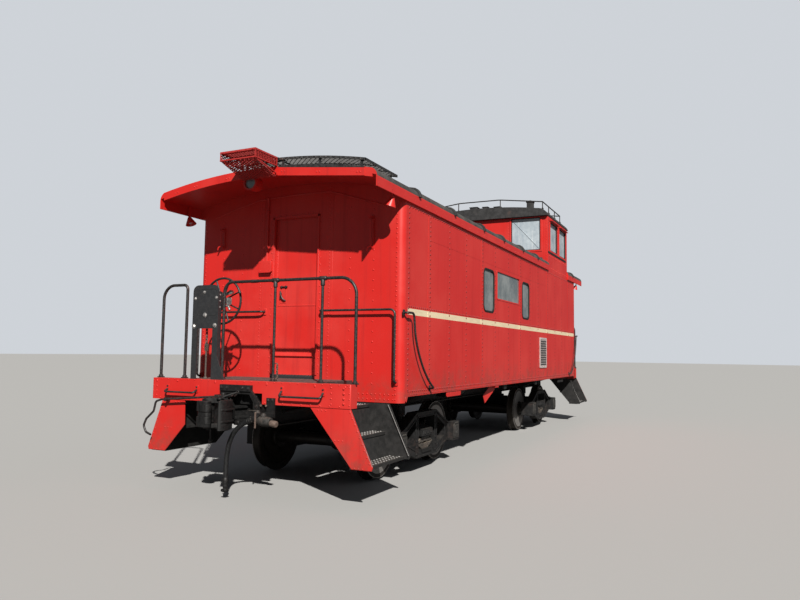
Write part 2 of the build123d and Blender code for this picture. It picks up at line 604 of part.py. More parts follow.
with BuildPart() as striker:     # casting round the shank, on the beam's face
    block((-BEAM_X - 48, -BEAM_X - 0.5), (-120, 295), (1132, 1198))
    with BuildSketch(Plane.YZ.offset(-BEAM_X - 30)):
        Polygon((295, 1140), (-120, 1140), (-238, 1010), (-238, 780), (295, 780), align=None)
        Polygon((215, 1100), (-95, 1100), (-150, 1020), (-150, 828), (215, 828), align=None,
                mode=Mode.SUBTRACT)
    extrude(amount=29.5)
    block((-BEAM_X - 30, -5505), (-238, -150), (780, 1000))
    block((-BEAM_X - 30, -5505), (215, 280), (780, 1000))
    block((-BEAM_X - 45, -5505), (-155, 220), (780, 826))
both_ends(striker, "striking_castings")

with BuildPart() as lever:       # uncoupling lever: a bent rod along the beam
    pipe([(-5700, 35, 1120), (-5700, 60, 1085), (-5700, 1120, 1000), (-5700, 1205, 975),
          (-5697, 1236, 862), (-5692, 1350, 770), (-5690, 1392, 690), (-5690, 1352, 618),
          (-5690, 1276, 592)], 12, [20, 60, 40, 50, 45, 45, 45])
    for y, z in ((330, 1064), (1060, 1004)):
        block((-5714, -BEAM_X - 0.5), (y - 9, y + 9), (z - 22, z + 22))
both_ends(lever, "uncoupling_levers")

# ---------------------------------------------------------------- train line
HOSE_R = 27.0
SOCKET_R = 19.0            # 1 1/4 inch pipe thread, at its crests
SOCKET_DEPTH = 28.0
HOSE = [(-5742, -197, 846), (-5748, -128, 815), (-5754, -63, 778), (-5758, -6, 729),
        (-5760, 38, 668), (-5761, 70, 597), (-5761, 90, 517), (-5760, 102, 432),
        (-5759, 108, 342), (-5757, 111, 250), (-5755, 112, 160)]


def corner_radii(points):
    """0.45 of the shorter run, divided by the tangent of half the turn."""
    out = []
    for a, b, c in zip(points, points[1:], points[2:]):
        v, w = Vector(*b) - Vector(*a), Vector(*c) - Vector(*b)
        turn = math.radians(v.get_angle(w))
        out.append(0.45 * min(v.length, w.length) / math.tan(turn / 2))
    return out


radii = corner_radii(HOSE)
with BuildPart() as brake_hose:
    with BuildLine() as hose_route:
        hose_path = FilletPolyline(*HOSE, radius=radii)
    with BuildSketch(Plane(origin=hose_path @ 0, z_dir=hose_path % 0)):
        Circle(HOSE_R)
    sweep()
print("hose length", round(hose_path.length), "radii", [round(r) for r in radii])
print("hose volume ratio", round(brake_hose.part.volume / (math.pi * HOSE_R ** 2 * hose_path.length), 4))
finish(brake_hose, "brake_hose")

with BuildPart() as angle_cock:            # on the -Y side of the coupler, below the beam
    start, way = hose_path @ 0, hose_path % 0
    with BuildSketch(Plane(origin=start, z_dir=way * -1)):
        Circle(32)
    extrude(amount=60)
    with BuildSketch(Plane(origin=start, z_dir=way * -1).offset(45)):
        Circle(42)
    extrude(amount=70)
    end = start - way * 95
    with Locations(Location((end.X + 100, end.Y, end.Z + 12), (0, 90, 0))):
        Cylinder(24, 250)
    block((end.X + 60, end.X + 84), (-420, end.Y), (end.Z - 10, end.Z + 34))
    block((-5655, -BEAM_X - 0.5), (-420, -314), (870, 1073))
    with BuildSketch(Plane(origin=start, z_dir=way * -1)):      # threaded socket for the hose nipple
        Circle(SOCKET_R)
    extrude(amount=SOCKET_DEPTH, mode=Mode.SUBTRACT)
print("hose socket mouth", start, "pointing", way)
both_ends(angle_cock, "angle_cocks")

with BuildPart() as glad_hand:
    stop, way = hose_path @ 1, hose_path % 1
    with BuildSketch(Plane(origin=stop, z_dir=way)):
        Circle(30)
    extrude(amount=42)
    with BuildSketch(Plane(origin=stop, z_dir=way).offset(40)):
        RectangleRounded(64, 78, 22)
    extrude(amount=46)
finish(glad_hand, "glad_hand")

# ---------------------------------------------------------------- air equipment under the floor
with BuildPart() as air_gear:
    with Locations(Location((790, 620, 960), (0, 90, 0))):
        Cylinder(215, 1060)
    for x in (480, 1100):
        block((x - 25, x + 25), (420, 820), (1150, 1220))
    with Locations(Location((-800, -560, 1010), (0, 90, 0))):
        Cylinder(150, 420)
    block((-960, -640), (-600, -520), (1120, 1220))
finish(air_gear, "air_reservoirs")

# ---------------------------------------------------------------- trucks
TX = -TRUCK_X
# side frame outline (x from the truck centre, z), right half
FRAME_TOP = [(0, 792), (330, 792), (640, 640), (790, 585), (1005, 585), (1005, 325), (775, 325),
             (690, 330), (330, 205), (0, 205)]
with BuildPart() as side_frames:
    outline = [(x, z) for x, z in FRAME_TOP] + [(-x, z) for x, z in reversed(FRAME_TOP[1:-1])]
    with BuildSketch(Plane.XZ.offset(JOURNAL_Y - 65)):
        with Locations((0, 0)):
            Polygon(*[(TX + x, z) for x, z in outline], align=None)
        Polygon((TX - 265, 262), (TX + 265, 262), (TX + 265, 720), (TX - 265, 720), align=None,
                mode=Mode.SUBTRACT)
        for s in (-1, 1):
            Polygon((TX + s * 345, 700), (TX + s * 345, 300), (TX + s * 640, 410),
                    (TX + s * 640, 560), align=None, mode=Mode.SUBTRACT)
    extrude(amount=130)
    for s in (-1, 1):                                             # journal boxes
        block((TX + s * HB - 112, TX + s * HB + 112), (-JOURNAL_Y - 145, -JOURNAL_Y + 92), (322, 588))
    for s in (-1, 1):                                             # journal bores, blind
        with Locations(Location((TX + s * HB, -JOURNAL_Y + 15, AXLE_Z), (90, 0, 0))):
            Cylinder(65.08, 240, mode=Mode.SUBTRACT)
with BuildPart() as side_frames_pair:
    add(side_frames.part)
    add(mirror(side_frames.part, about=Plane.XZ, mode=Mode.PRIVATE))
each_end(side_frames_pair, "truck_side_frames")

with BuildPart() as bolster:
    with BuildSketch(Plane.YZ.offset(TX - 175)):
        Polygon((-1075, 560), (-1075, 470), (-800, 470), (-450, 400), (450, 400), (800, 470),
                (1075, 470), (1075, 560), (800, 640), (-800, 640), align=None)
    extrude(amount=350)
    with Locations((TX, 0, (640 + PLATE_TRUCK_Z) / 2)):
        Cylinder(215, PLATE_TRUCK_Z - 640)
    for s in (-1, 1):
        block((TX - 80, TX + 80), sorted((s * 585, s * 685)), (640, 700))
    block((TX - 150, TX + 150), (-1075, 1075), (262, 290))       # spring plank
    for s in (-1, 1):                                            # hangers tie the plank
        block((TX - 60, TX + 60), sorted((s * 840, s * 862)), (290, 500))
each_end(bolster, "truck_bolster")

# leaf springs between plank and bolster, in the frame's window
with BuildPart() as springs:
    for y in (-JOURNAL_Y, JOURNAL_Y):
        with BuildSketch(Plane.XZ.offset(-y - 50)):
            with BuildLine():
                ThreePointArc((TX - 245, 380), (TX, 470), (TX + 245, 380))
                ThreePointArc((TX + 245, 380), (TX, 290), (TX - 245, 380))
            make_face()
            with BuildLine():
                ThreePointArc((TX - 190, 380), (TX, 418), (TX + 190, 380))
                ThreePointArc((TX + 190, 380), (TX, 342), (TX - 190, 380))
            make_face(mode=Mode.SUBTRACT)
        extrude(amount=100)
each_end(springs, "truck_springs")

# brake beams with shoes, on the bolster's side of each wheel
with BuildPart() as brakes:
    for s in (-1, 1):
        ax = TX + s * HB
        block(sorted((ax - s * 462, ax - s * 522)), (-820, 820), (415, 475))
        block(sorted((TX + s * 175, ax - s * 520)), (-40, 40), (425, 465))
        for y in (-757, 757):
            with BuildSketch(Plane.XZ.offset(-y - 40)):
                with Locations((ax, AXLE_Z)):
                    Circle(468)
                    Circle(427, mode=Mode.SUBTRACT)
                with Locations((ax - s * 455, AXLE_Z + 0)):
                    Rectangle(200, 300, mode=Mode.INTERSECT)
            extrude(amount=80)
each_end(brakes, "brake_beams")

# wheelsets: half profile of axle and wheel, (y, radius)
WHEEL = [(0, 0), (0, 78), (560, 84), (655, 92), (655, 140), (672, 150), (700, 150), (716, 120),
         (752, 250), (706, 345), (682, 360), (680, 436), (686, 443), (694, 444), (704, 440),
         (713, 424), (745, 419), (815, 415.5), (815, 362), (770, 350), (786, 250), (800, 150),
         (838, 145), (838, 92), (850, 80), (896, 78), (896, 65), (1094, 65), (1094, 0)]
with BuildPart() as wheelset:
    with BuildSketch(Plane.YZ.offset(TX - HB)):
        for s in (-1, 1):
            Polygon(*[(s * y, AXLE_Z + r) for y, r in WHEEL], align=None)
    revolve(axis=Axis((TX - HB, 0, AXLE_Z), (0, 1, 0)))
finish(wheelset, "wheelset_b_outer")
for label, x in (("wheelset_b_inner", TX + HB), ("wheelset_a_inner", -TX - HB),
                 ("wheelset_a_outer", -TX + HB)):
    with BuildPart() as copy:
        add(wheelset.part.translate((x - (TX - HB), 0, 0)))
    finish(copy, label)
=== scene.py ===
import math
import random

import bpy
import numpy as np
from mathutils import Matrix, Vector


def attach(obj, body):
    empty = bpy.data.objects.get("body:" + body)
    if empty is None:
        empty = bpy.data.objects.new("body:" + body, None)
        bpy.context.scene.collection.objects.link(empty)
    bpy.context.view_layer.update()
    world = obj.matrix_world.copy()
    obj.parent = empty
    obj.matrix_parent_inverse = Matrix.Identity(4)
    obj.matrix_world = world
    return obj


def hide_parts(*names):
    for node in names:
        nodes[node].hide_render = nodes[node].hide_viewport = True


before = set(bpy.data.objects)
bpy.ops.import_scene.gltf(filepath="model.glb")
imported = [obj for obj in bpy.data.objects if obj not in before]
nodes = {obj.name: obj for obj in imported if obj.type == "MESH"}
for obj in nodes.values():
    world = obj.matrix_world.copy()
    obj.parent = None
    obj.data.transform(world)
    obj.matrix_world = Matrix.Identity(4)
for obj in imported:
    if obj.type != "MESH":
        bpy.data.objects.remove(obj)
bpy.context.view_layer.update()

random.seed(7)

# ------------------------------------------------------------------ sizes, in metres
HX, HY = 4.760, 1.470            # half length and half width of the body
SILL, END_LOW, PLATE = 1.075, 1.009, 3.280
ROOF_END, ROOF_Y = 5.475, 1.500
SHOULDER = (1.440, 3.475)
CROWN = 3.625
ROOF_R = (SHOULDER[0] ** 2 + (CROWN - SHOULDER[1]) ** 2) / (2 * (CROWN - SHOULDER[1]))
BEAM_X, BEAM_Z = 5.637, (1.002, 1.241)
STRIPE = (1.999, 2.071)
TRUCK_X, HB, AXLE_Z = 3.120, 0.890, 0.444


def roof_z(y):
    """Height of the roof's skin over y."""
    return CROWN - ROOF_R + math.sqrt(ROOF_R ** 2 - y * y)


# ------------------------------------------------------------------ mesh helpers
class Shape:
    """Many small solids gathered into one mesh."""

    def __init__(self):
        self.v, self.f, self.n = [], [], 0

    def add(self, verts, faces):
        self.v.append(np.asarray(verts, float).reshape(-1, 3))
        self.f += [tuple(i + self.n for i in face) for face in faces]
        self.n += len(self.v[-1])

    def box(self, lo, hi):
        (a, b, c), (d, e, g) = lo, hi
        self.add([(a, b, c), (d, b, c), (d, e, c), (a, e, c), (a, b, g), (d, b, g), (d, e, g), (a, e, g)],
                 [(0, 3, 2, 1), (4, 5, 6, 7), (0, 1, 5, 4), (1, 2, 6, 5), (2, 3, 7, 6), (3, 0, 4, 7)])

    def beam(self, p, q, w, h, up=(0, 0, 1)):
        """A square bar from p to q, w wide across up and h high along it."""
        p, q = Vector(p), Vector(q)
        d = (q - p).normalized()
        s = d.cross(Vector(up)).normalized() * (w / 2)
        u = s.cross(d).normalized() * (h / 2)
        self.add([p - s - u, p + s - u, p + s + u, p - s + u, q - s - u, q + s - u, q + s + u, q - s + u],
                 [(0, 1, 2, 3), (7, 6, 5, 4), (4, 5, 1, 0), (5, 6, 2, 1), (6, 7, 3, 2), (7, 4, 0, 3)])

    def loft(self, rings, closed=False, caps=True):
        """Rings of equal point counts, joined into a skin."""
        n = len(rings[0])
        faces = []
        m = len(rings)
        for i in range(m if closed else m - 1):
            j = (i + 1) % m
            for k in range(n):
                l = (k + 1) % n
                faces.append((i * n + k, i * n + l, j * n + l, j * n + k))
        if caps and not closed:
            faces.append(tuple(reversed(range(n))))
            faces.append(tuple((m - 1) * n + k for k in range(n)))
        self.add(np.concatenate([np.asarray(r, float).reshape(-1, 3) for r in rings]), faces)

    def tube(self, points, r, n=10, closed=False, caps=True):
        pts = [Vector(p) for p in points]
        rings, m = [], len(pts)
        ref = None
        for i, p in enumerate(pts):
            if closed:
                d = (pts[(i + 1) % m] - pts[i - 1]).normalized()
            else:
                d = (pts[min(i + 1, m - 1)] - pts[max(i - 1, 0)]).normalized()
            if ref is None:
                ref = d.orthogonal().normalized()
            ref = (ref - d * ref.dot(d)).normalized()
            s = d.cross(ref)
            radius = r[i] if isinstance(r, (list, tuple)) else r
            rings.append([p + (ref * math.cos(2 * math.pi * k / n) + s * math.sin(2 * math.pi * k / n)) * radius
                          for k in range(n)])
        self.loft(rings, closed, caps)

    def turned(self, c, axis, profile, n=24, arc=2 * math.pi):
        """profile of (distance along axis, radius), turned about the axis through c."""
        c, a = Vector(c), Vector(axis).normalized()
        u = a.orthogonal().normalized()
        w = a.cross(u)
        rings = []
        for k in range(n):
            t = arc * k / n
            out = u * math.cos(t) + w * math.sin(t)
            rings.append([c + a * h + out * r for h, r in profile])
        m = len(profile)
        faces = []
        for k in range(n):
            l = (k + 1) % n
            for i in range(m - 1):
                faces.append((k * m + i, k * m + i + 1, l * m + i + 1, l * m + i))
        verts = np.concatenate([np.asarray(r, float) for r in rings])
        self.add(verts, faces)
        if abs(profile[0][0] - profile[-1][0]) < 1e-9 and profile[-1][1] > 1e-6:
            return                      # a ring, open in the middle
        for i in (0, m - 1):
            if profile[i][1] > 1e-6:
                ring = [rings[k][i] for k in range(n)]
                self.add(ring, [tuple(range(n)) if i else tuple(reversed(range(n)))])

    def domes(self, points, normal, r=0.0115, h=0.006, n=8):
        """Round rivet heads at points, standing along normal (one vector, or one for each point)."""
        points = np.asarray(points, float).reshape(-1, 3)
        if not len(points):
            return
        normals = np.broadcast_to(np.asarray(normal, float), points.shape)
        for p, a in zip(points, normals):
            a = Vector(a).normalized()
            u = a.orthogonal().normalized()
            w = a.cross(u)
            p = Vector(p)
            verts = []
            for rr, hh in ((r, -0.001), (r * 0.93, h * 0.45), (r * 0.6, h * 0.85)):
                for k in range(n):
                    t = 2 * math.pi * k / n
                    verts.append(p + (u * math.cos(t) + w * math.sin(t)) * rr + a * hh)
            verts.append(p + a * h)
            faces = []
            for i in range(2):
                for k in range(n):
                    l = (k + 1) % n
                    faces.append((i * n + k, i * n + l, (i + 1) * n + l, (i + 1) * n + k))
            for k in range(n):
                faces.append((2 * n + k, 2 * n + (k + 1) % n, 3 * n))
            faces.append(tuple(reversed(range(n))))
            self.add(verts, faces)

    def bolts(self, points, normal, r=0.014, h=0.010, washer=True):
        """Hexagon bolt heads with washers."""
        for p in points:
            a = Vector(normal).normalized()
            u = a.orthogonal().normalized()
            w = a.cross(u)
            p = Vector(p)
            turn = random.uniform(0, 1)
            if washer:
                self.turned(p - a * 0.001, a, [(0, 1.45 * r), (0.0028, 1.45 * r), (0.0034, 1.3 * r), (0.0034, 0.4 * r)], 14)
            rings = []
            for hh, s in ((0, 1.0), (h * 0.82, 1.0), (h, 0.86)):
                rings.append([p + a * hh + (u * math.cos(turn + k * math.pi / 3) + w * math.sin(turn + k * math.pi / 3)) * r * s
                              for k in range(6)])
            self.loft(rings)

    def ring(self, path, profile_r, n=8):
        self.tube(path, profile_r, n, closed=True)

    def prism(self, outline, lo, hi, axis):
        """A flat outline of (first, second) coordinates, thick from lo to hi along axis 0, 1 or 2."""
        order = {0: lambda a, b, t: (t, a, b), 1: lambda a, b, t: (a, t, b), 2: lambda a, b, t: (a, b, t)}[axis]
        n = len(outline)
        area = sum(outline[i][0] * outline[(i + 1) % n][1] - outline[(i + 1) % n][0] * outline[i][1] for i in range(n))
        flip = (area < 0) != (axis == 1)
        pts = list(reversed(outline)) if flip else list(outline)
        verts = [order(a, b, lo) for a, b in pts] + [order(a, b, hi) for a, b in pts]
        faces = [tuple(reversed(range(n))), tuple(range(n, 2 * n))]
        faces += [(i, (i + 1) % n, n + (i + 1) % n, n + i) for i in range(n)]
        self.add(verts, faces)

    def copied(self, matrix):
        """The same shape again, through a matrix; a mirror turns its faces round."""
        m = np.array(matrix)
        v = np.concatenate(self.v) @ m[:3, :3].T + m[:3, 3]
        flip = np.linalg.det(m[:3, :3]) < 0
        faces = [tuple(reversed(f)) if flip else f for f in self.f]
        self.add(v, faces)

    def done(self, name, mat, body="body", slot=None, angle=35, bevel=0.0, segments=1):
        mesh = bpy.data.meshes.new(name)
        mesh.from_pydata([tuple(p) for p in np.concatenate(self.v)], [], self.f)
        mesh.validate()
        mesh.update()
        mesh.polygons.foreach_set("use_smooth", [True] * len(mesh.polygons))
        mesh.set_sharp_from_angle(angle=math.radians(angle))
        o = bpy.data.objects.new(name, mesh)
        bpy.context.scene.collection.objects.link(o)
        mesh.materials.append(mat)
        if bevel:
            b = o.modifiers.new("edges", "BEVEL")
            b.width, b.segments, b.limit_method, b.angle_limit = bevel, segments, "ANGLE", math.radians(50)
            b.harden_normals = False
        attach(o, body)
        return o


HALF_TURN = Matrix.Rotation(math.pi, 4, "Z")
MIRROR_Y = Matrix.Scale(-1, 4, (0, 1, 0))
MIRROR_X = Matrix.Scale(-1, 4, (1, 0, 0))


def rounded(x0, x1, z0, z1, r, n=6):
    """Outline of a rectangle with round corners, anticlockwise."""
    out = []
    for cx, cz, t0 in ((x1 - r, z1 - r, 0), (x0 + r, z1 - r, 90), (x0 + r, z0 + r, 180), (x1 - r, z0 + r, 270)):
        for k in range(n + 1):
            t = math.radians(t0 + 90 * k / n)
            out.append((cx + r * math.cos(t), cz + r * math.sin(t)))
    return out


def frange(a, b, pitch):
    """Evenly spaced values from a to b, at about the pitch."""
    n = max(1, round(abs(b - a) / pitch))
    return [a + (b - a) * i / n for i in range(n + 1)]


# ------------------------------------------------------------------ materials
class Nodes:
    """Short names for a material's nodes."""

    def __init__(self, name):
        self.mat = bpy.data.materials.new(name)
        self.mat.use_nodes = True
        self.t = self.mat.node_tree
        self.t.nodes.clear()
        self.out = self.t.nodes.new("ShaderNodeOutputMaterial")
        self.bsdf = self.t.nodes.new("ShaderNodeBsdfPrincipled")
        self.t.links.new(self.bsdf.outputs[0], self.out.inputs[0])
        self.co = self.t.nodes.new("ShaderNodeTexCoord").outputs["Object"]
        sep = self.t.nodes.new("ShaderNodeSeparateXYZ")
        self.t.links.new(self.co, sep.inputs[0])
        self.x, self.y, self.z = sep.outputs

    def put(self, socket, value):
        if isinstance(value, bpy.types.NodeSocket):
            self.t.links.new(value, socket)
        elif isinstance(value, (tuple, list)) and len(value) == 3 and socket.type == "RGBA":
            socket.default_value = (*value, 1)
        else:
            socket.default_value = value

    def math(self, op, a, b=0.5, c=0.5, clamp=False):
        n = self.t.nodes.new("ShaderNodeMath")
        n.operation, n.use_clamp = op, clamp
        for s, v in zip(n.inputs, (a, b, c)):
            self.put(s, v)
        return n.outputs[0]

    def stretch(self, scale):
        n = self.t.nodes.new("ShaderNodeMapping")
        self.put(n.inputs["Vector"], self.co)
        n.inputs["Scale"].default_value = scale
        return n.outputs[0]

    def noise(self, scale, detail=3.0, rough=0.55, stretch=None, distortion=0.0):
        n = self.t.nodes.new("ShaderNodeTexNoise")
        self.put(n.inputs["Vector"], self.stretch(stretch) if stretch else self.co)
        n.inputs["Scale"].default_value = scale
        n.inputs["Detail"].default_value = detail
        n.inputs["Roughness"].default_value = rough
        n.inputs["Distortion"].default_value = distortion
        return n.outputs[0]

    def voronoi(self, scale, stretch=None, feature="F1"):
        n = self.t.nodes.new("ShaderNodeTexVoronoi")
        n.feature = feature
        self.put(n.inputs["Vector"], self.stretch(stretch) if stretch else self.co)
        n.inputs["Scale"].default_value = scale
        return n.outputs[0]

    def ramp(self, fac, lo, hi, v0=0.0, v1=1.0):
        """fac from lo to hi, mapped smoothly from v0 to v1."""
        n = self.t.nodes.new("ShaderNodeMapRange")
        n.interpolation_type = "SMOOTHSTEP"
        for s, v in zip(n.inputs, (fac, lo, hi, v0, v1)):
            self.put(s, v)
        return n.outputs[0]

    def mix(self, fac, a, b):
        n = self.t.nodes.new("ShaderNodeMix")
        n.data_type = "RGBA"
        self.put(n.inputs[0], fac)
        self.put(n.inputs[6], a)
        self.put(n.inputs[7], b)
        return n.outputs[2]

    def blendf(self, fac, a, b):
        n = self.t.nodes.new("ShaderNodeMix")
        n.data_type = "FLOAT"
        self.put(n.inputs[0], fac)
        self.put(n.inputs[2], a)
        self.put(n.inputs[3], b)
        return n.outputs[0]

    def bump(self, height, strength=0.3, distance=0.001, normal=None):
        n = self.t.nodes.new("ShaderNodeBump")
        n.inputs["Strength"].default_value = strength
        n.inputs["Distance"].default_value = distance
        self.put(n.inputs["Height"], height)
        if normal is not None:
            self.put(n.inputs["Normal"], normal)
        return n.outputs[0]

    def normal_z(self):
        """How far the surface faces up, for dust."""
        g = self.t.nodes.new("ShaderNodeNewGeometry")
        s = self.t.nodes.new("ShaderNodeSeparateXYZ")
        self.t.links.new(g.outputs["Normal"], s.inputs[0])
        return s.outputs[2]

    def set(self, **values):
        names = {"color": "Base Color", "rough": "Roughness", "metal": "Metallic", "normal": "Normal",
                 "spec": "Specular IOR Level", "coat": "Coat Weight", "coat_rough": "Coat Roughness",
                 "alpha": "Alpha", "ior": "IOR", "trans": "Transmission Weight", "emit": "Emission Color",
                 "emit_strength": "Emission Strength", "sheen": "Sheen Weight"}
        for k, v in values.items():
            self.put(self.bsdf.inputs[names[k]], v)
        return self.mat


RED = (0.560, 0.018, 0.014)
RED_DEEP = (0.330, 0.010, 0.010)
RED_CHALK = (0.600, 0.045, 0.036)
CREAM = (0.760, 0.640, 0.430)


def red_enamel(name, stripe=False, dirt_low=None, waves=True, rough=0.36):
    """Enamel on steel sheet: faded patches, rain streaks, dust low down, and sheets that wave a little."""
    m = Nodes(name)
    patches = m.noise(1.1, 4, 0.6)
    streaks = m.noise(3.0, 5, 0.65, (4.0, 4.0, 0.16))
    grain = m.noise(55, 3, 0.6)
    col = m.mix(m.ramp(patches, 0.38, 0.70, 0.0, 0.55), RED, RED_CHALK)
    col = m.mix(m.ramp(streaks, 0.50, 0.78, 0.0, 0.50), col, RED_DEEP)
    col = m.mix(m.ramp(grain, 0.60, 0.80, 0.0, 0.22), col, RED_CHALK)
    if dirt_low:
        low, high = dirt_low
        soil = m.math("MULTIPLY", m.ramp(m.z, low, high, 1.0, 0.0), m.ramp(m.noise(7, 6, 0.7), 0.35, 0.75))
        col = m.mix(m.math("MULTIPLY", soil, 0.65), col, (0.130, 0.060, 0.045))
    chips = m.math("MULTIPLY", m.ramp(m.voronoi(38), 0.045, 0.075, 1.0, 0.0),
                   m.ramp(m.noise(2.3, 2), 0.62, 0.74))
    if stripe:
        zc = m.math("ADD", m.z, m.math("MULTIPLY", m.math("SUBTRACT", m.noise(14, 2), 0.5), 0.0022))
        band = m.math("MULTIPLY", m.math("GREATER_THAN", zc, STRIPE[0]), m.math("LESS_THAN", zc, STRIPE[1]))
        band = m.math("MULTIPLY", band, m.math("LESS_THAN", m.math("ABSOLUTE", m.x), 4.632))
        band = m.math("MULTIPLY", band, m.math("GREATER_THAN", m.math("ABSOLUTE", m.y), 1.4685))
        cream = m.mix(m.ramp(m.noise(5, 6, 0.7, (1, 1, 5)), 0.42, 0.78, 0.0, 0.55), CREAM, (0.52, 0.40, 0.27))
        col = m.mix(band, col, cream)
    col = m.mix(m.math("MULTIPLY", chips, 0.8), col, (0.085, 0.040, 0.030))
    dusty = m.ramp(m.normal_z(), 0.55, 0.98, 0.0, 0.38)
    col = m.mix(m.math("MULTIPLY", dusty, m.ramp(m.noise(4, 5, 0.7), 0.25, 0.7)), col, (0.34, 0.25, 0.21))
    r = m.blendf(m.ramp(patches, 0.35, 0.75), rough, rough + 0.16)
    r = m.math("ADD", r, m.ramp(streaks, 0.45, 0.8, 0.0, 0.12))
    normal = m.bump(grain, 0.10, 0.0015)
    if waves:
        sheet = m.noise(1.7, 2, 0.5, (1.0, 1.0, 0.75))
        normal = m.bump(sheet, 0.30, 0.012, normal)
    normal = m.bump(chips, 0.35, -0.0012, normal)
    return m.set(color=col, rough=r, normal=normal, spec=0.5)


def metal_paint(name, base, dust, rust, rough=0.55, rust_amount=0.35, dust_amount=0.4, metal=0.0,
                scale=1.0, bump_strength=0.35, mottle=1.0):
    """Weathered dark paint: dust on what faces up, rust where the paint is gone, a cast or brushed texture."""
    m = Nodes(name)
    big = m.noise(2.2 * scale, 5, 0.62)
    mid = m.noise(16 * scale, 5, 0.65)
    fine = m.noise(130 * scale, 3, 0.6)
    light = tuple(min(1.0, c * (1 + 0.9 * mottle) + 0.012 * mottle) for c in base)
    col = m.mix(m.ramp(mid, 0.35, 0.72), base, light)
    rusty = m.math("MULTIPLY", m.ramp(big, 0.50, 0.68), m.ramp(mid, 0.44, 0.66), clamp=True)
    rusty = m.math("MULTIPLY", rusty, rust_amount)
    col = m.mix(rusty, col, m.mix(fine, rust, tuple(c * 0.45 for c in rust)))
    up = m.ramp(m.normal_z(), 0.30, 0.95, 0.12, 1.0)
    dusty = m.math("MULTIPLY", up, m.ramp(m.noise(5 * scale, 6, 0.7), 0.30, 0.72))
    dusty = m.math("MULTIPLY", dusty, dust_amount)
    col = m.mix(dusty, col, dust)
    r = m.math("ADD", m.blendf(m.ramp(mid, 0.3, 0.7), rough - 0.08, rough + 0.12), m.math("MULTIPLY", rusty, 0.3))
    height = m.math("ADD", m.math("MULTIPLY", fine, 0.35), m.math("MULTIPLY", mid, 0.65))
    normal = m.bump(height, bump_strength, 0.0012 / max(scale, 0.3))
    normal = m.bump(rusty, 0.4, 0.001, normal)
    return m.set(color=col, rough=r, metal=metal, normal=normal)


DUST = (0.210, 0.175, 0.140)
RUST = (0.190, 0.070, 0.030)

M = {}
M["side_red"] = red_enamel("red_side_enamel", stripe=True, dirt_low=(1.05, 1.55))
M["end_red"] = red_enamel("red_end_enamel", dirt_low=(1.0, 1.4))
M["red"] = red_enamel("red_trim_enamel", waves=False)
M["cupola_red"] = red_enamel("red_cupola_enamel")
M["step_red"] = red_enamel("red_step_enamel", dirt_low=(0.38, 0.95), waves=False)
M["roof_black"] = metal_paint("black_roof_coating", (0.014, 0.014, 0.015), (0.10, 0.095, 0.085), RUST, 0.72, 0.2, 0.45, scale=0.8)
M["grate_black"] = metal_paint("black_grating_paint", (0.011, 0.011, 0.012), (0.09, 0.085, 0.075), RUST, 0.55, 0.3, 0.4, scale=2)
M["gear_black"] = metal_paint("running_gear_black", (0.0045, 0.0045, 0.0050), (0.085, 0.074, 0.062), RUST, 0.6, 0.14, 0.30, scale=1.4, bump_strength=0.55, mottle=0.4)
M["under_black"] = metal_paint("underframe_black", (0.014, 0.013, 0.013), (0.12, 0.10, 0.085), RUST, 0.7, 0.5, 0.6)
M["rail_black"] = metal_paint("worn_black_handrail", (0.011, 0.010, 0.010), (0.12, 0.10, 0.09), (0.16, 0.05, 0.035), 0.44, 0.6, 0.22, scale=3)
M["step_black"] = metal_paint("black_step_paint", (0.016, 0.016, 0.016), (0.13, 0.12, 0.105), RUST, 0.5, 0.2, 0.35, scale=1.5, mottle=0.5)
M["brake_grey"] = metal_paint("dark_grey_brake_paint", (0.022, 0.023, 0.025), (0.09, 0.09, 0.085), RUST, 0.44, 0.05, 0.15, scale=2, bump_strength=0.12, mottle=0.15)
# darker red for the roof end steps: painted shade, standing for the shade the frame sits in
M["dull_red"] = metal_paint("dull_red_steel", (0.330, 0.020, 0.018), (0.22, 0.09, 0.08), (0.12, 0.03, 0.02), 0.5, 0.25, 0.3, scale=2, mottle=0.4)
M["louvre"] = metal_paint("dark_vent_blades", (0.030, 0.028, 0.028), (0.14, 0.12, 0.11), RUST, 0.5, 0.2, 0.3, scale=2)
# side rivet heads in a darker red than the wall: painted shade, standing for the dark shading round each rivet
M["rivet_red"] = metal_paint("side_rivets_dark_painted_shade", (0.190, 0.010, 0.010), (0.16, 0.06, 0.05), (0.10, 0.02, 0.015), 0.5, 0.3, 0.5, scale=3)
M["deck"] = metal_paint("deck_plate", (0.024, 0.023, 0.023), (0.17, 0.155, 0.14), RUST, 0.5, 0.35, 0.5, scale=1.6)
M["iron"] = metal_paint("rusty_iron_fittings", (0.045, 0.036, 0.030), (0.22, 0.19, 0.15), (0.26, 0.11, 0.055), 0.6, 0.9, 0.55, scale=3, bump_strength=0.6)
M["vent"] = metal_paint("grey_vent_paint", (0.36, 0.31, 0.30), (0.30, 0.27, 0.24), RUST, 0.45, 0.25, 0.35, scale=2)
M["lamp"] = metal_paint("satin_black_lamp", (0.020, 0.020, 0.021), DUST, RUST, 0.35, 0.2, 0.3, scale=3)
M["bolt"] = metal_paint("bare_bolt_heads", (0.42, 0.41, 0.40), (0.22, 0.19, 0.16), RUST, 0.38, 0.5, 0.3, metal=0.85, scale=4)
M["lining"] = metal_paint("cabin_lining_paint", (0.42, 0.45, 0.40), (0.30, 0.28, 0.24), RUST, 0.5, 0.12, 0.25)


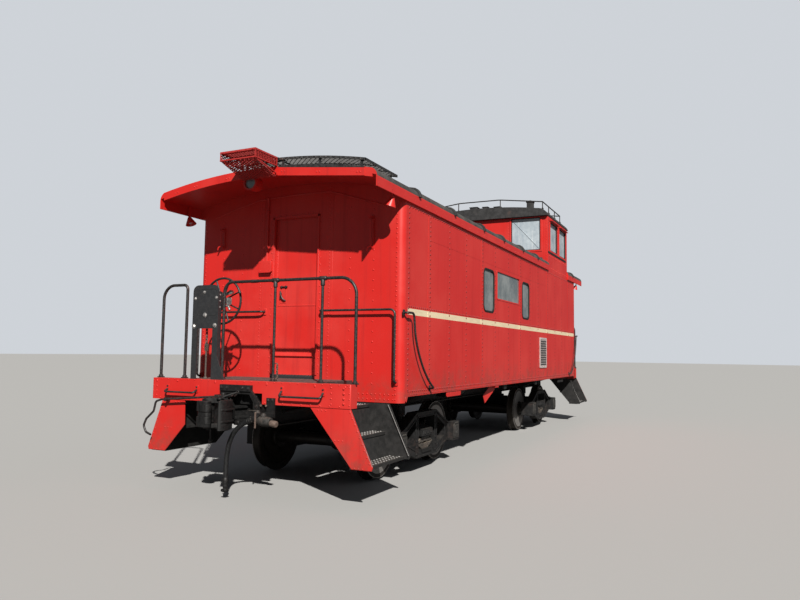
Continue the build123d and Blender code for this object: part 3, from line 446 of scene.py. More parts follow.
def two_tone(name, edge):
    """Black coating on what faces up, red on the upright edges and below."""
    m = Nodes(name)
    patches, mid, fine = m.noise(1.1, 4, 0.6), m.noise(13, 5, 0.65), m.noise(120, 3, 0.6)
    red = m.mix(m.ramp(patches, 0.38, 0.70, 0.0, 0.5), RED, RED_CHALK)
    red = m.mix(m.ramp(m.noise(5, 5, 0.65, (1, 1, 0.3)), 0.50, 0.78, 0.0, 0.4), red, RED_DEEP)
    black = m.mix(m.ramp(mid, 0.35, 0.72), (0.018, 0.018, 0.019), (0.045, 0.044, 0.043))
    dusty = m.math("MULTIPLY", m.ramp(m.noise(3.5, 6, 0.7), 0.30, 0.72), 0.5)
    black = m.mix(dusty, black, (0.15, 0.14, 0.125))
    wob = m.math("ADD", m.z, m.math("MULTIPLY", m.math("SUBTRACT", mid, 0.5), 0.012))
    top = m.math("MULTIPLY", m.math("GREATER_THAN", wob, edge), m.math("GREATER_THAN", m.normal_z(), 0.12))
    rough = m.blendf(top, m.ramp(patches, 0.35, 0.75, 0.36, 0.52), 0.74)
    normal = m.bump(m.math("ADD", m.math("MULTIPLY", fine, 0.4), m.math("MULTIPLY", mid, 0.6)), 0.25, 0.0015)
    return m.set(color=m.mix(top, red, black), rough=rough, normal=normal)


def step_paint():
    """Stringers red outside, black treads and risers between them."""
    m = Nodes("step_paint")
    mid, fine = m.noise(14, 5, 0.65), m.noise(110, 3, 0.6)
    red = m.mix(m.ramp(m.noise(2.2, 5, 0.65), 0.40, 0.70, 0.0, 0.6), RED, RED_DEEP)
    soil = m.math("MULTIPLY", m.ramp(m.z, 0.40, 0.95, 0.75, 0.10), m.ramp(m.noise(9, 6, 0.7), 0.35, 0.75))
    red = m.mix(soil, red, (0.120, 0.060, 0.045))
    black = m.mix(m.ramp(mid, 0.35, 0.72), (0.014, 0.014, 0.014), (0.020, 0.019, 0.019))
    dusty = m.math("MULTIPLY", m.ramp(m.normal_z(), 0.30, 0.95, 0.02, 0.6), m.ramp(m.noise(7, 6, 0.7), 0.30, 0.72))
    black = m.mix(m.math("MULTIPLY", dusty, 0.6), black, (0.25, 0.23, 0.20))
    ax = m.math("ABSOLUTE", m.x)
    outside = m.math("GREATER_THAN", ax, 5.6225)
    rough = m.blendf(outside, m.ramp(mid, 0.3, 0.7, 0.42, 0.66), m.ramp(mid, 0.3, 0.7, 0.34, 0.55))
    normal = m.bump(m.math("ADD", m.math("MULTIPLY", fine, 0.4), m.math("MULTIPLY", mid, 0.6)), 0.35, 0.0012)
    return m.set(color=m.mix(outside, black, red), rough=rough, normal=normal)


def wheel_steel():
    """Rusty wheel with a bright band where it rolls and a darker, oily middle."""
    m = Nodes("rusty_wheel_steel")
    mid = m.noise(18, 6, 0.65)
    fine = m.noise(140, 3, 0.6)
    col = m.mix(m.ramp(mid, 0.32, 0.7), (0.009, 0.008, 0.007), (0.030, 0.019, 0.013))
    col = m.mix(m.ramp(m.noise(3, 4), 0.45, 0.7, 0.0, 0.7), col, (0.016, 0.014, 0.013))
    return m, mid, fine, col


def wheel_material(name, cx):
    m, mid, fine, col = wheel_steel()
    m.mat.name = name
    dx = m.math("SUBTRACT", m.x, cx)
    dz = m.math("SUBTRACT", m.z, AXLE_Z)
    r = m.math("SQRT", m.math("ADD", m.math("MULTIPLY", dx, dx), m.math("MULTIPLY", dz, dz)))
    ay = m.math("ABSOLUTE", m.y)
    tread = m.math("MULTIPLY", m.math("GREATER_THAN", r, 0.4135), m.math("GREATER_THAN", ay, 0.712))
    tread = m.math("MULTIPLY", tread, m.math("LESS_THAN", ay, 0.790))
    shine = m.math("MULTIPLY", tread, m.ramp(mid, 0.25, 0.62, 0.95, 0.45))
    col = m.mix(shine, col, (0.060, 0.053, 0.046))
    oily = m.math("MULTIPLY", m.ramp(r, 0.10, 0.23, 1.0, 0.0), m.ramp(mid, 0.3, 0.6))
    col = m.mix(m.math("MULTIPLY", oily, 0.8), col, (0.018, 0.015, 0.013))
    rough = m.blendf(shine, 0.72, 0.26)
    rough = m.blendf(oily, rough, 0.38)
    normal = m.bump(m.math("ADD", m.math("MULTIPLY", mid, 0.6), m.math("MULTIPLY", fine, 0.4)), 0.5, 0.0012)
    return m.set(color=col, rough=rough, metal=m.math("MULTIPLY", shine, 0.9), normal=normal)


for end, s in (("b", -1), ("a", 1)):
    for which, d in (("outer", 1), ("inner", -1)):
        M[f"wheel_{end}_{which}"] = wheel_material(f"wheel_steel_{end}_{which}", s * (TRUCK_X + d * HB))


def glass():
    """Old safety glass: grey-green, with dusty patches, hazed."""
    m = Nodes("dusty_window_glass")
    haze = m.noise(2.6, 5, 0.65)
    col = m.mix(m.ramp(haze, 0.35, 0.72), (0.13, 0.16, 0.17), (0.30, 0.33, 0.33))
    col = m.mix(m.ramp(m.noise(30, 5, 0.7), 0.5, 0.8, 0.0, 0.4), col, (0.42, 0.39, 0.33))
    return m.set(color=col, rough=m.ramp(haze, 0.3, 0.8, 0.05, 0.22), spec=0.8, coat=0.6, coat_rough=0.04,
                 normal=m.bump(m.noise(2.0, 2), 0.08, 0.01))


def milky_sheet():
    """A milky plastic sheet that has crazed in the sun."""
    m = Nodes("milky_cupola_sheet")
    haze = m.noise(3.0, 6, 0.7)
    col = m.mix(m.ramp(haze, 0.3, 0.75), (0.30, 0.36, 0.41), (0.52, 0.58, 0.62))
    col = m.mix(m.ramp(m.noise(4, 4, 0.6, (6, 6, 0.5)), 0.5, 0.78, 0.0, 0.55), col, (0.62, 0.65, 0.67))
    return m.set(color=col, rough=m.ramp(haze, 0.3, 0.8, 0.18, 0.42), coat=0.3, coat_rough=0.12,
                 normal=m.bump(haze, 0.15, 0.004))


def rubber(name, base=(0.016, 0.016, 0.016), dust=(0.15, 0.14, 0.12), amount=0.35):
    m = Nodes(name)
    n1, n2 = m.noise(45, 5, 0.65), m.noise(240, 2, 0.5)
    dusty = m.math("MULTIPLY", m.ramp(n1, 0.35, 0.75), amount)
    col = m.mix(dusty, base, dust)
    return m.set(color=col, rough=m.ramp(n1, 0.3, 0.8, 0.45, 0.75), normal=m.bump(n2, 0.3, 0.0006))


def boards():
    m = Nodes("worn_floor_boards")
    grain = m.noise(6, 8, 0.7, (1.2, 30, 30))
    blotch = m.noise(1.6, 4)
    col = m.mix(m.ramp(grain, 0.3, 0.75), (0.115, 0.065, 0.035), (0.235, 0.155, 0.090))
    col = m.mix(m.ramp(blotch, 0.4, 0.75, 0.0, 0.6), col, (0.09, 0.075, 0.06))
    return m.set(color=col, rough=m.ramp(grain, 0.3, 0.7, 0.5, 0.8), normal=m.bump(grain, 0.4, 0.002))


M["glass"] = glass()
M["milky"] = milky_sheet()
M["gasket"] = rubber("window_gasket_rubber", (0.008, 0.008, 0.008), (0.06, 0.055, 0.05), 0.2)
M["hose"] = rubber("hose_rubber", (0.0045, 0.0048, 0.0055), (0.030, 0.030, 0.032), 0.20)
M["boards"] = boards()

M["coupler"] = metal_paint("dark_coupler_casting", (0.0030, 0.0030, 0.0032), (0.045, 0.040, 0.035), RUST, 0.58, 0.06, 0.16, scale=2.5, bump_strength=0.6, mottle=0.3)
# grating strands a lighter grey than the frame: partly dust, partly painted highlight for the sky light on them
M["strand"] = metal_paint("grating_strands_painted_highlight", (0.060, 0.058, 0.058), (0.20, 0.19, 0.18), RUST, 0.45, 0.15, 0.5, scale=3)
M["cock"] = metal_paint("pale_cock_body", (0.085, 0.058, 0.046), (0.17, 0.14, 0.115), (0.16, 0.07, 0.04), 0.6, 0.5, 0.4, scale=4, bump_strength=0.7)
# pale thin ring at the wheels' outer edges: painted highlight standing for the light caught along the rims
M["rim"] = metal_paint("rim_edges_painted_highlight", (0.22, 0.21, 0.20), (0.20, 0.17, 0.14), RUST, 0.42, 0.3, 0.2, metal=0.6, scale=4)
# pale grey for the worn tread studs, and a painted highlight on the stringers' edges
M["worn_stud"] = metal_paint("studs_worn_and_edges_painted_highlight", (0.19, 0.185, 0.18), (0.20, 0.19, 0.17), RUST, 0.45, 0.2, 0.3, scale=4)
M["gear_dusty"] = metal_paint("dusty_journal_lids", (0.016, 0.015, 0.014), (0.15, 0.13, 0.105), RUST, 0.6, 0.3, 0.5, scale=2, bump_strength=0.5)
M["spring"] = metal_paint("dusty_leaf_springs", (0.040, 0.035, 0.031), (0.27, 0.22, 0.17), RUST, 0.55, 0.6, 0.8, scale=4)
M["roof"] = two_tone("main_roof_paint", 3.388)
M["steps"] = step_paint()

# material of each construction node
LOOK = {
    "air_reservoirs": "gear_black", "angle_cocks": "coupler", "brake_beams_a": "gear_black",
    "brake_beams_b": "gear_black", "brake_hose": "hose", "brake_stands": "brake_grey",
    "brake_wheels": "rail_black", "cabin_floor": "boards", "centre_sill": "under_black",
    "centre_plates": "under_black", "side_sills": "under_black", "cross_bearers": "under_black",
    "side_bearings": "under_black", "sill_cover_plate": "under_black",
    "couplers": "coupler", "cupola_ends": "cupola_red",
    "cupola_railing": "grate_black", "cupola_roof": "roof_black", "cupola_sides": "cupola_red",
    "cupola_windows": "milky", "end_beams": "red", "end_door_a": "end_red", "end_door_b": "end_red",
    "end_handrails": "rail_black", "end_lamps": "red", "end_railings": "rail_black",
    "end_wall_a": "end_red", "end_wall_b": "end_red", "glad_hand": "iron", "knuckle_a": "coupler",
    "knuckle_b": "coupler", "platforms": "deck", "roof": "roof", "roof_steps": "red",
    "roof_walks": "grate_black", "side_handrails": "rail_black", "side_wall_left": "side_red",
    "side_wall_right": "side_red", "side_windows": "glass", "steps": "steps",
    "striking_castings": "coupler", "truck_bolster_a": "gear_black", "truck_bolster_b": "gear_black",
    "truck_side_frames_a": "gear_black", "truck_side_frames_b": "gear_black",
    "truck_springs_a": "gear_black", "truck_springs_b": "gear_black", "uncoupling_levers": "rail_black",
    "vent_louvres": "vent",
    "wheelset_a_inner": "wheel_a_inner", "wheelset_a_outer": "wheel_a_outer",
    "wheelset_b_inner": "wheel_b_inner", "wheelset_b_outer": "wheel_b_outer",
}
# how far the arrises of the node are rounded, in metres
SOFTEN = {"steps": 0.0015, "end_beams": 0.004, "brake_stands": 0.0025, "couplers": 0.012, "knuckle_a": 0.010,
          "knuckle_b": 0.010, "striking_castings": 0.008, "truck_side_frames_a": 0.010,
          "truck_side_frames_b": 0.010, "truck_bolster_a": 0.008, "truck_bolster_b": 0.008,
          "brake_beams_a": 0.004, "brake_beams_b": 0.004, "end_door_a": 0.003, "end_door_b": 0.003,
          "platforms": 0.002, "cross_bearers": 0.003, "centre_sill": 0.003, "cupola_roof": 0.005,
          "cupola_sides": 0.003, "cupola_ends": 0.003, "air_reservoirs": 0.006, "roof_steps": 0.001,
          "vent_louvres": 0.001}
for name, node in nodes.items():
    node.data.materials.clear()
    node.data.materials.append(M[LOOK[name]])
    if name in SOFTEN:
        w = node.modifiers.new("weld", "WELD")
        w.merge_threshold = 1e-5
        b = node.modifiers.new("edges", "BEVEL")
        b.width, b.segments, b.limit_method = SOFTEN[name], 2, "ANGLE"
        b.angle_limit, b.miter_outer = math.radians(40), "MITER_ARC"
        b.use_clamp_overlap = True

# ------------------------------------------------------------------ rivets on the body
# side: seams with close rivets, posts with wider ones (distance from the -X end wall)
SEAMS = [0.742, 2.709, 4.748, 6.760, 8.778]
POSTS = [1.395, 2.030, 3.331, 4.045, 5.420, 6.005, 7.420, 8.060]
WINDOWS = [(2.773, 3.276, 1.130, 1.775, 0.095), (3.430, 4.715, 1.357, 1.803, 0.022), (4.882, 5.348, 1.130, 1.775, 0.095)]
SIDE_RIVET = dict(r=0.0130, h=0.0070)


def clear_of_windows(x, z, margin=0.035):
    return not any(x0 - margin < x < x1 + margin and z0 - margin < z < z1 + margin
                   for x0, x1, z0, z1, r in WINDOWS)


def side_points():
    """(distance from the end wall, height over the sill) of the side's rivets."""
    pts = []
    for x in SEAMS + [0.144, 9.376]:
        pts += [(x + 0.018 * (x in SEAMS), z) for z in frange(0.075, 2.150, 0.057)]
    for x in POSTS:
        pts += [(x, z) for z in frange(0.10, 2.150, 0.072)]
    for z in (1.020, 0.060):
        pts += [(x, z) for x in frange(0.16, 9.36, 0.057)]
    pts += [(x, 2.168) for x in frange(0.16, 9.36, 0.075)]
    out = []
    for x, z in pts:
        vent = 6.090 < x < 6.670 and 0.21 < z < 0.83
        if clear_of_windows(x, z) and not vent and not any(
                abs(x - a) < 0.02 and abs(z - b) < 0.02 for a, b in out[-3:]):
            out.append((x, z))
    return out


rivets, laps = Shape(), Shape()
pts = side_points()
rivets.domes([(x - HX, -HY, z + SILL) for x, z in pts], (0, -1, 0), **SIDE_RIVET)
for x in SEAMS:
    laps.box((x - HX - 0.052, -HY - 0.0022, SILL + 0.004), (x - HX - 0.0004, -HY + 0.002, PLATE - 0.02))
laps.box((SEAMS[0] - HX, -HY - 0.0018, SILL + 1.862), (SEAMS[3] - HX, -HY + 0.002, SILL + 1.866))
for s in (rivets, laps):
    s.copied(HALF_TURN @ MIRROR_X)
rivets.done("side_rivets", M["rivet_red"], slot="body_red", angle=60)
laps.done("side_sheet_laps", M["side_red"], slot="body_red")

# ------------------------------------------------------------------ ends of the body
def mirrored_ends(shape):
    """The shape made at the -X end, and its turned copy at the +X end."""
    shape.copied(HALF_TURN)


def arch_z(y):
    """Underside of the roof over the platform, a little below it."""
    return -2.224 + math.sqrt(5.817 ** 2 - y * y) - 0.045


FACE = -HX
end_rivets, end_trim, end_bolts = Shape(), Shape(), Shape()
pts = []
for y in (-0.500, 0.500):
    pts += [(y, z) for z in frange(1.10, arch_z(y), 0.043)]
for y in (-1.090, -0.782, 0.782, 1.090):
    pts += [(y, z) for z in frange(1.10, arch_z(y), 0.117)]
for y in (-1.385, 1.385):
    pts += [(y, z) for z in frange(1.05, 3.30, 0.055)]
for z in (1.100, 1.045):
    pts += [(s * y, z) for s in (-1, 1) for y in frange(0.275, 1.36, 0.055)]
pts += [(y, z) for y in (-0.372, 0.333) for z in frange(1.32, 3.20, 0.085)]
pts += [(y, 3.232) for y in frange(-0.34, 0.30, 0.085)]
end_rivets.domes([(FACE, y, z) for y, z in pts], (-1, 0, 0), 0.0098, 0.0052)
for y in (-0.545, 0.545):
    a, b = sorted((y, y - math.copysign(0.088, y)))
    end_trim.box((FACE - 0.0022, a, 1.012 if abs(y) > 0.6 else 1.225), (FACE + 0.002, b, arch_z(y)))
# thin arched moulding below the roof
mould = [(1.236, 3.277), (0.90, 3.370), (0.521, 3.451), (0.0, 3.474), (-0.505, 3.470), (-0.90, 3.345), (-1.242, 3.239)]
end_trim.tube([(FACE - 0.006, y, min(z, arch_z(y))) for y, z in mould], 0.008, 8)
# doorway: frame strips and a head strip
for y0, y1 in ((-0.357, -0.333), (0.294, 0.318)):
    end_trim.box((FACE - 0.012, y0, 1.292), (FACE + 0.002, y1, 3.212))
end_trim.box((FACE - 0.012, -0.357, 3.188), (FACE + 0.002, 0.318, 3.214))
# conduit, box and tab brackets to the left of the door
end_trim.tube([(FACE - 0.012, 0.400, 2.665), (FACE - 0.012, 0.400, 3.30), (FACE - 0.014, 0.395, 3.42),
               (FACE - 0.05, 0.380, 3.465)], 0.0105, 10)
for z in (2.80, 3.05, 3.28):
    end_trim.box((FACE - 0.026, 0.382, z), (FACE + 0.001, 0.418, z + 0.022))
end_trim.prism(rounded(0.318, 0.488, 2.535, 2.665, 0.016), FACE - 0.048, FACE + 0.002, 0)
end_trim.prism(rounded(0.311, 0.495, 2.528, 2.672, 0.018), FACE - 0.052, FACE - 0.046, 0)
end_bolts.bolts([(FACE - 0.052, y, z) for y in (0.335, 0.471) for z in (2.552, 2.648)], (-1, 0, 0), 0.006, 0.003, False)
end_trim.box((FACE - 0.030, 0.515, 2.448), (FACE + 0.001, 0.640, 2.462))
end_trim.box((FACE - 0.006, 0.515, 2.415), (FACE + 0.001, 0.640, 2.462))
# marker lamp brackets: tall straps with a hooked foot
for y, z0, z1 in ((1.100, 2.850, 3.139), (-1.070, 2.731, 3.138)):
    end_trim.prism([(y - 0.022, z0 + 0.02), (y + 0.022, z0 + 0.02), (y + 0.022, z1), (y - 0.022, z1)], FACE - 0.010, FACE + 0.002, 0)
    end_trim.prism([(FACE - 0.002, z1 - 0.012), (FACE - 0.062, z1 - 0.022), (FACE - 0.068, z1 - 0.05), (FACE - 0.058, z1 - 0.05),
                    (FACE - 0.054, z1 - 0.032), (FACE - 0.002, z1 - 0.024)], y - 0.016, y + 0.016, 1)
    end_trim.beam((FACE - 0.062, y, z1 - 0.045), (FACE - 0.056, y, z0 + 0.05), 0.026, 0.008, (1, 0, 0))
    end_trim.tube([(FACE - 0.004, y, z0 + 0.035), (FACE - 0.050, y, z0 + 0.052), (FACE - 0.066, y + 0.03, z0 + 0.030),
                   (FACE - 0.060, y + 0.045, z0 - 0.005)], 0.009, 8)
    end_bolts.bolts([(FACE - 0.010, y, z) for z in (z0 + 0.045, z1 - 0.05)], (-1, 0, 0), 0.009, 0.006)
# feet of the grab irons and their nuts
for s in (-1, 1):
    for y, z in ((s * 0.415, 2.047), (s * 1.397, 1.240)):
        end_trim.prism(rounded(y - 0.026, y + 0.026, z - 0.040, z + 0.040, 0.012), FACE - 0.010, FACE + 0.002, 0)
        end_bolts.bolts([(FACE - 0.010, y, z + t) for t in (-0.029, 0.029)], (-1, 0, 0), 0.0085, 0.006, False)
# gussets at the low corners
for s in (-1, 1):
    end_trim.prism([(-4.665, 1.077), (-4.665, 1.030), (-4.640, 1.012), (-4.600, 1.077)],
                   min(s * (HY - 0.006), s * (HY + 0.0015)), max(s * (HY - 0.006), s * (HY + 0.0015)), 1)
for s in (end_rivets, end_trim, end_bolts):
    mirrored_ends(s)
end_rivets.done("end_rivets", M["end_red"], slot="body_red", angle=60)
end_trim.done("end_wall_trim", M["end_red"], slot="body_red", bevel=0.0012)
end_bolts.done("end_wall_bolts", M["end_red"], slot="body_red", angle=30)

# the grey threshold under the door
sill = Shape()
sill.prism([(-4.800, 1.246), (-4.762, 1.246), (-4.762, 1.286), (-4.786, 1.286), (-4.800, 1.268)], -0.330, 0.290, 1)
for y in frange(-0.30, 0.26, 0.045):
    sill.box((-4.7995, y - 0.004, 1.2705), (-4.764, y + 0.004, 1.2885))
mirrored_ends(sill)
sill.done("door_thresholds", M["brake_grey"], bevel=0.001)
# short chain hung from a hook on the railing's post, down to the deck
link = Shape()
for i in range(8):
    zc = 1.410 - i * 0.023
    if i % 2:
        path = [(-5.530, -0.352 + 0.010 * math.cos(t), zc + 0.019 * math.sin(t)) for t in frange(0, 2 * math.pi, 0.6)][:-1]
    else:
        path = [(-5.530 + 0.010 * math.cos(t), -0.352, zc + 0.019 * math.sin(t)) for t in frange(0, 2 * math.pi, 0.6)][:-1]
    link.tube(path, 0.0045, 7, closed=True)
link.tube([(-5.530, -0.314, 1.428), (-5.530, -0.332, 1.438), (-5.530, -0.352, 1.434), (-5.530, -0.354, 1.420)], 0.005, 8)
mirrored_ends(link)
link.done("railing_chains", M["iron"], angle=50)

# what rides the doors: panel seam, ledge, handle and hasp
for end, turn in (("b", None), ("a", HALF_TURN)):
    d, k = Shape(), Shape()
    X = -4.724
    d.box((X - 0.0035, -0.326, 2.112), (X + 0.001, 0.287, 2.130))
    d.prism([(X + 0.001, 1.505), (X - 0.020, 1.505), (X - 0.025, 1.512), (X - 0.006, 1.555), (X + 0.001, 1.555)], -0.322, 0.276, 1)
    for y0, y1 in ((-0.326, -0.302), (0.263, 0.287)):
        d.box((X - 0.004, y0, 1.300), (X + 0.001, y1, 3.176))
    d.domes([(X - 0.004, y, z) for y in (-0.314, 0.275) for z in frange(1.34, 3.14, 0.10)], (-1, 0, 0), 0.007, 0.004)
    d.domes([(X - 0.0035, y, 2.121) for y in frange(-0.27, 0.23, 0.071)], (-1, 0, 0), 0.006, 0.0035)
    d.prism(rounded(0.128, 0.226, 2.150, 2.372, 0.010), X - 0.0035, X + 0.001, 0)
    k.tube([(X - 0.016, 0.108, 2.352), (X - 0.016, 0.212, 2.352)], 0.0075, 10)
    for y in (0.128, 0.192):
        k.prism([(y - 0.008, 2.338), (y + 0.008, 2.338), (y + 0.008, 2.366), (y - 0.008, 2.366)], X - 0.022, X - 0.002, 0)
    k.tube([(X - 0.014, 0.212, 2.300), (X - 0.030, 0.196, 2.262), (X - 0.034, 0.172, 2.218), (X - 0.026, 0.148, 2.190), (X - 0.010, 0.132, 2.182)], 0.0085, 10)
    k.tube([(X - 0.012, 0.206 + 0.014 * math.cos(t), 2.268 + 0.018 * math.sin(t)) for t in frange(0, 2 * math.pi, 0.5)][:-1], 0.0034, 6, closed=True)
    k.prism(rounded(0.186, 0.216, 2.205, 2.246, 0.006), X - 0.024, X - 0.010, 0)
    if turn is not None:
        for s in (d, k):
            v = np.concatenate(s.v) @ np.array(turn)[:3, :3].T
            s.v = [v]
    d.done(f"door_trim_{end}", M["end_red"], body=f"door_{end}", slot="body_red", bevel=0.0008)
    k.done(f"door_latch_{end}", M["rail_black"], body=f"door_{end}", bevel=0.0008)

# ------------------------------------------------------------------ roof: seam caps, gratings
def skin_path(y_lim=1.500, out=0.0):
    """Points (y, z) across the main roof, from eave to eave, standing out from the skin."""
    half = [(1.500 + out, 3.386), (1.4965 + out * 0.97, 3.410 + out * 0.25), (1.482 + out * 0.8, 3.4385 + out * 0.6),
            (1.464 + out * 0.6, 3.459 + out * 0.8), (1.440 + out * 0.3, 3.475 + out * 0.95)]
    arc = [(y, roof_z(y) + out) for y in frange(1.35, -1.35, 0.12)]
    return half + arc + [(-y, z) for y, z in reversed(half)]


caps = Shape()
for x in (-4.41, -3.26, -2.06, -1.06, 0.09, 1.14, 4.41):
    low, high, top = skin_path(out=-0.003), skin_path(out=0.020), skin_path(out=0.029)
    caps.loft([[(x - 0.029, *a), (x - 0.029, *b), (x - 0.014, *c), (x + 0.014, *c), (x + 0.029, *b), (x + 0.029, *a)]
               for a, b, c in zip(low, high, top)])
caps.done("roof_seam_caps", M["roof_black"], angle=50)

flash = Shape()          # standing edge round the cupola's foot, and vents on the roof
for y0, y1 in ((-1.36, -0.26), (0.26, 1.36)):
    for x in (2.075, 3.905):
        s = -1 if x < 3 else 1
        ring = [[(x + s * t, y, roof_z(y) + h) for t, h in ((0.0, -0.004), (0.075, -0.004), (0.075, 0.006), (0.012, 0.010), (0.010, 0.060), (0.0, 0.060))]
                for y in frange(y0, y1, 0.1)]
        flash.loft(ring if s < 0 else [list(reversed(r)) for r in ring])
for x, y in ((-3.75, 0.62), (0.62, -0.62)):
    z = roof_z(y)
    flash.turned((x, y, z - 0.01), (0, 0, 1), [(0, 0.075), (0.012, 0.075), (0.016, 0.058), (0.10, 0.055), (0.102, 0.105), (0.118, 0.105), (0.150, 0.06), (0.162, 0.0)], 20)
flash.done("roof_flashings", M["roof_black"], bevel=0.001)


def lattice(shape, point, su, sv, pitch, w, h, steps=1, up=(0, 0, 1)):
    """Crossed diagonal bars over the patch point(u, v), u in 0..su, v in 0..sv."""
    for way in (1, -1):
        k = -sv
        while k < su:
            u0, v0, u1, v1 = k, 0.0, k + sv, sv
            if u0 < 0:
                v0, u0 = -u0, 0.0
            if u1 > su:
                v1, u1 = sv - (u1 - su), su
            if v1 - v0 > pitch * 0.3:
                a, b = (v0, v1) if way > 0 else (sv - v0, sv - v1)
                n = max(1, round(abs(b - a) / (sv / steps)))
                for i in range(n):
                    p = point(u0 + (u1 - u0) * i / n, a + (b - a) * i / n)
                    q = point(u0 + (u1 - u0) * (i + 1) / n, a + (b - a) * (i + 1) / n)
                    shape.beam(p, q, w, h, up)
            k += pitch


walk, strand = Shape(), Shape()
for x0, x1 in ((-ROOF_END + 0.006, 2.045), (3.935, ROOF_END - 0.006)):
    lattice(strand, lambda u, v: (x0 + u, -0.236 + v, 3.7135), x1 - x0, 0.472, 0.058, 0.0045, 0.020)
    for y in (-0.2375, 0.2375):
        walk.box((x0, y - 0.0025, 3.695), (x1, y + 0.0025, 3.725))
    for y in (-0.118, 0.0, 0.118):
        walk.box((x0, y - 0.002, 3.697), (x1, y + 0.002, 3.722))
    for x in (x0, x1 - 0.005):
        walk.box((x, -0.24, 3.695), (x + 0.005, 0.24, 3.725))
    n = max(2, round((x1 - x0) * 1000 / 1100) + 1)
    for i in range(n):
        x = x0 + 0.040 + i * (x1 - x0 - 0.080) / (n - 1)
        for y in (-0.200, 0.200):
            walk.prism([(x - 0.020, 3.618), (x + 0.020, 3.618), (x + 0.020, 3.623), (x - 0.015, 3.623), (x - 0.015, 3.690), (x + 0.020, 3.690),
                        (x + 0.020, 3.695), (x - 0.020, 3.695)], y - 0.02, y + 0.02, 1)
        walk.box((x - 0.020, -0.240, 3.688), (x + 0.020, 0.240, 3.695))
        walk.bolts([(x, y, 3.695) for y in (-0.20, 0.20)], (0, 0, 1), 0.010, 0.007)
corner, corner_strand = Shape(), Shape()
cr = ROOF_R + 0.086


def over(r, y):
    return CROWN - ROOF_R + math.sqrt(r * r - y * y)


X0 = -ROOF_END + 0.010
lattice(corner_strand, lambda u, v: (X0 + u, -1.352 + v, over(cr, -1.352 + v)), 0.76, 1.094, 0.062, 0.0065, 0.012, steps=8)
for x in (X0, X0 + 0.253, X0 + 0.507, X0 + 0.755):
    ys = frange(-1.354, -0.256, 0.09)
    corner.loft([[(x, y, over(cr + t, y)) for t in (-0.014, 0.014)] + [(x + 0.005, y, over(cr + t, y)) for t in (0.014, -0.014)] for y in ys])
for y in (-1.354, -0.2585):
    corner.box((X0, y, over(cr - 0.014, y)), (X0 + 0.76, y + 0.004, over(cr + 0.014, y)))
for y in (-1.300, -0.780, -0.300):
    for x in (X0 + 0.030, X0 + 0.700):
        z = over(ROOF_R + 0.074, y)
        corner.prism([(x - 0.016, z - 0.078), (x + 0.016, z - 0.078), (x + 0.016, z - 0.072), (x - 0.011, z - 0.072), (x - 0.011, z - 0.006), (x + 0.016, z - 0.006),
                      (x + 0.016, z), (x - 0.016, z)], y - 0.016, y + 0.016, 1)
corner.copied(HALF_TURN)
corner_strand.copied(HALF_TURN)
for whole, part in ((walk, corner), (strand, corner_strand)):
    whole.v += part.v
    whole.f += [tuple(i + whole.n for i in f) for f in part.f]
    whole.n += part.n
strand.done("grating_strands_painted_highlight", M["strand"], angle=30)
o = walk.done("roof_gratings", M["grate_black"], angle=30)
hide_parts("roof_walks")

step = Shape()           # red frame past the roof's end: two flanges with a gap between, open mesh on top and in its sides; its darker red is painted shade
XO = -5.870
for z0, z1, d in ((3.704, 3.725, 0.034), (3.622, 3.636, 0.024)):
    step.box((XO, -0.240, z0), (XO + d, 0.240, z1))
    for s in (-1, 1):
        a, b = sorted((s * 0.2392, s * (0.2392 - d)))
        step.box((XO + d - 0.0005, a, z0 + 0.0007), (-ROOF_END - 0.002, b, z1 - 0.0007))
for s in (-1, 1):
    for x in (XO + 0.0012, -ROOF_END - 0.0112):
        a, b = sorted((s * 0.2383, s * 0.2300))
        step.box((x, a, 3.6345), (x + 0.010, b, 3.7055))
    step.tube([(-5.862, s * 0.225, 3.628), (-ROOF_END - 0.008, s * 0.225, 3.546)], 0.009, 8)
    lattice(step, lambda u, v: (XO + 0.006 + u, s * 0.2335, 3.633 + v * 0.5), 0.38, 0.148, 0.057, 0.0125, 0.004, up=(0, 1, 0))
lattice(step, lambda u, v: (XO + 0.030 + u * 0.47, -0.232 + v, 3.713), 0.76, 0.464, 0.058, 0.007, 0.014)
lattice(step, lambda u, v: (XO + 0.026 + u * 0.47, -0.2325 + v, 3.618 - 0.31 * u * 0.47), 0.775, 0.465, 0.060, 0.012, 0.005)
step.box((-5.700, -0.2315, 3.7005), (-5.694, 0.2315, 3.7175))
step.bolts([(XO, y, 3.7145) for y in (-0.20, 0.0, 0.20)], (-1, 0, 0), 0.008, 0.006, False)
mirrored_ends(step)
o = step.done("roof_end_steps", M["dull_red"], slot="body_red", angle=30)
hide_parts("roof_steps")

# bolts in pairs along the end fascia, and the hooded lamp's rim
fas = Shape()
fas.prism([(-0.246, 3.607), (-1.350, 3.485), (-1.350, 3.401), (-0.246, 3.515)], -ROOF_END - 0.005, -ROOF_END + 0.001, 0)
for y in (-1.300, -1.262, -0.800, -0.762, -0.340, -0.302):
    fas.domes([(-ROOF_END - 0.005, y, 3.561 + (y + 0.246) * 0.1105)], (-1, 0, 0), 0.009, 0.006)
lip = Shape()            # thin black edge above the board
ys = frange(-0.250, -1.346, 0.10)
lip.loft([[(-ROOF_END - 0.0030, y, 3.6055 + (y + 0.246) * 0.1105), (-ROOF_END - 0.0030, y, max(roof_z(y) + 0.006, 3.610 + (y + 0.246) * 0.1105)),
           (-ROOF_END - 0.0005, y, max(roof_z(y) + 0.006, 3.610 + (y + 0.246) * 0.1105)), (-ROOF_END - 0.0005, y, 3.6055 + (y + 0.246) * 0.1105)] for y in ys])
mirrored_ends(lip)
lip.done("roof_edge_plates", M["grate_black"])
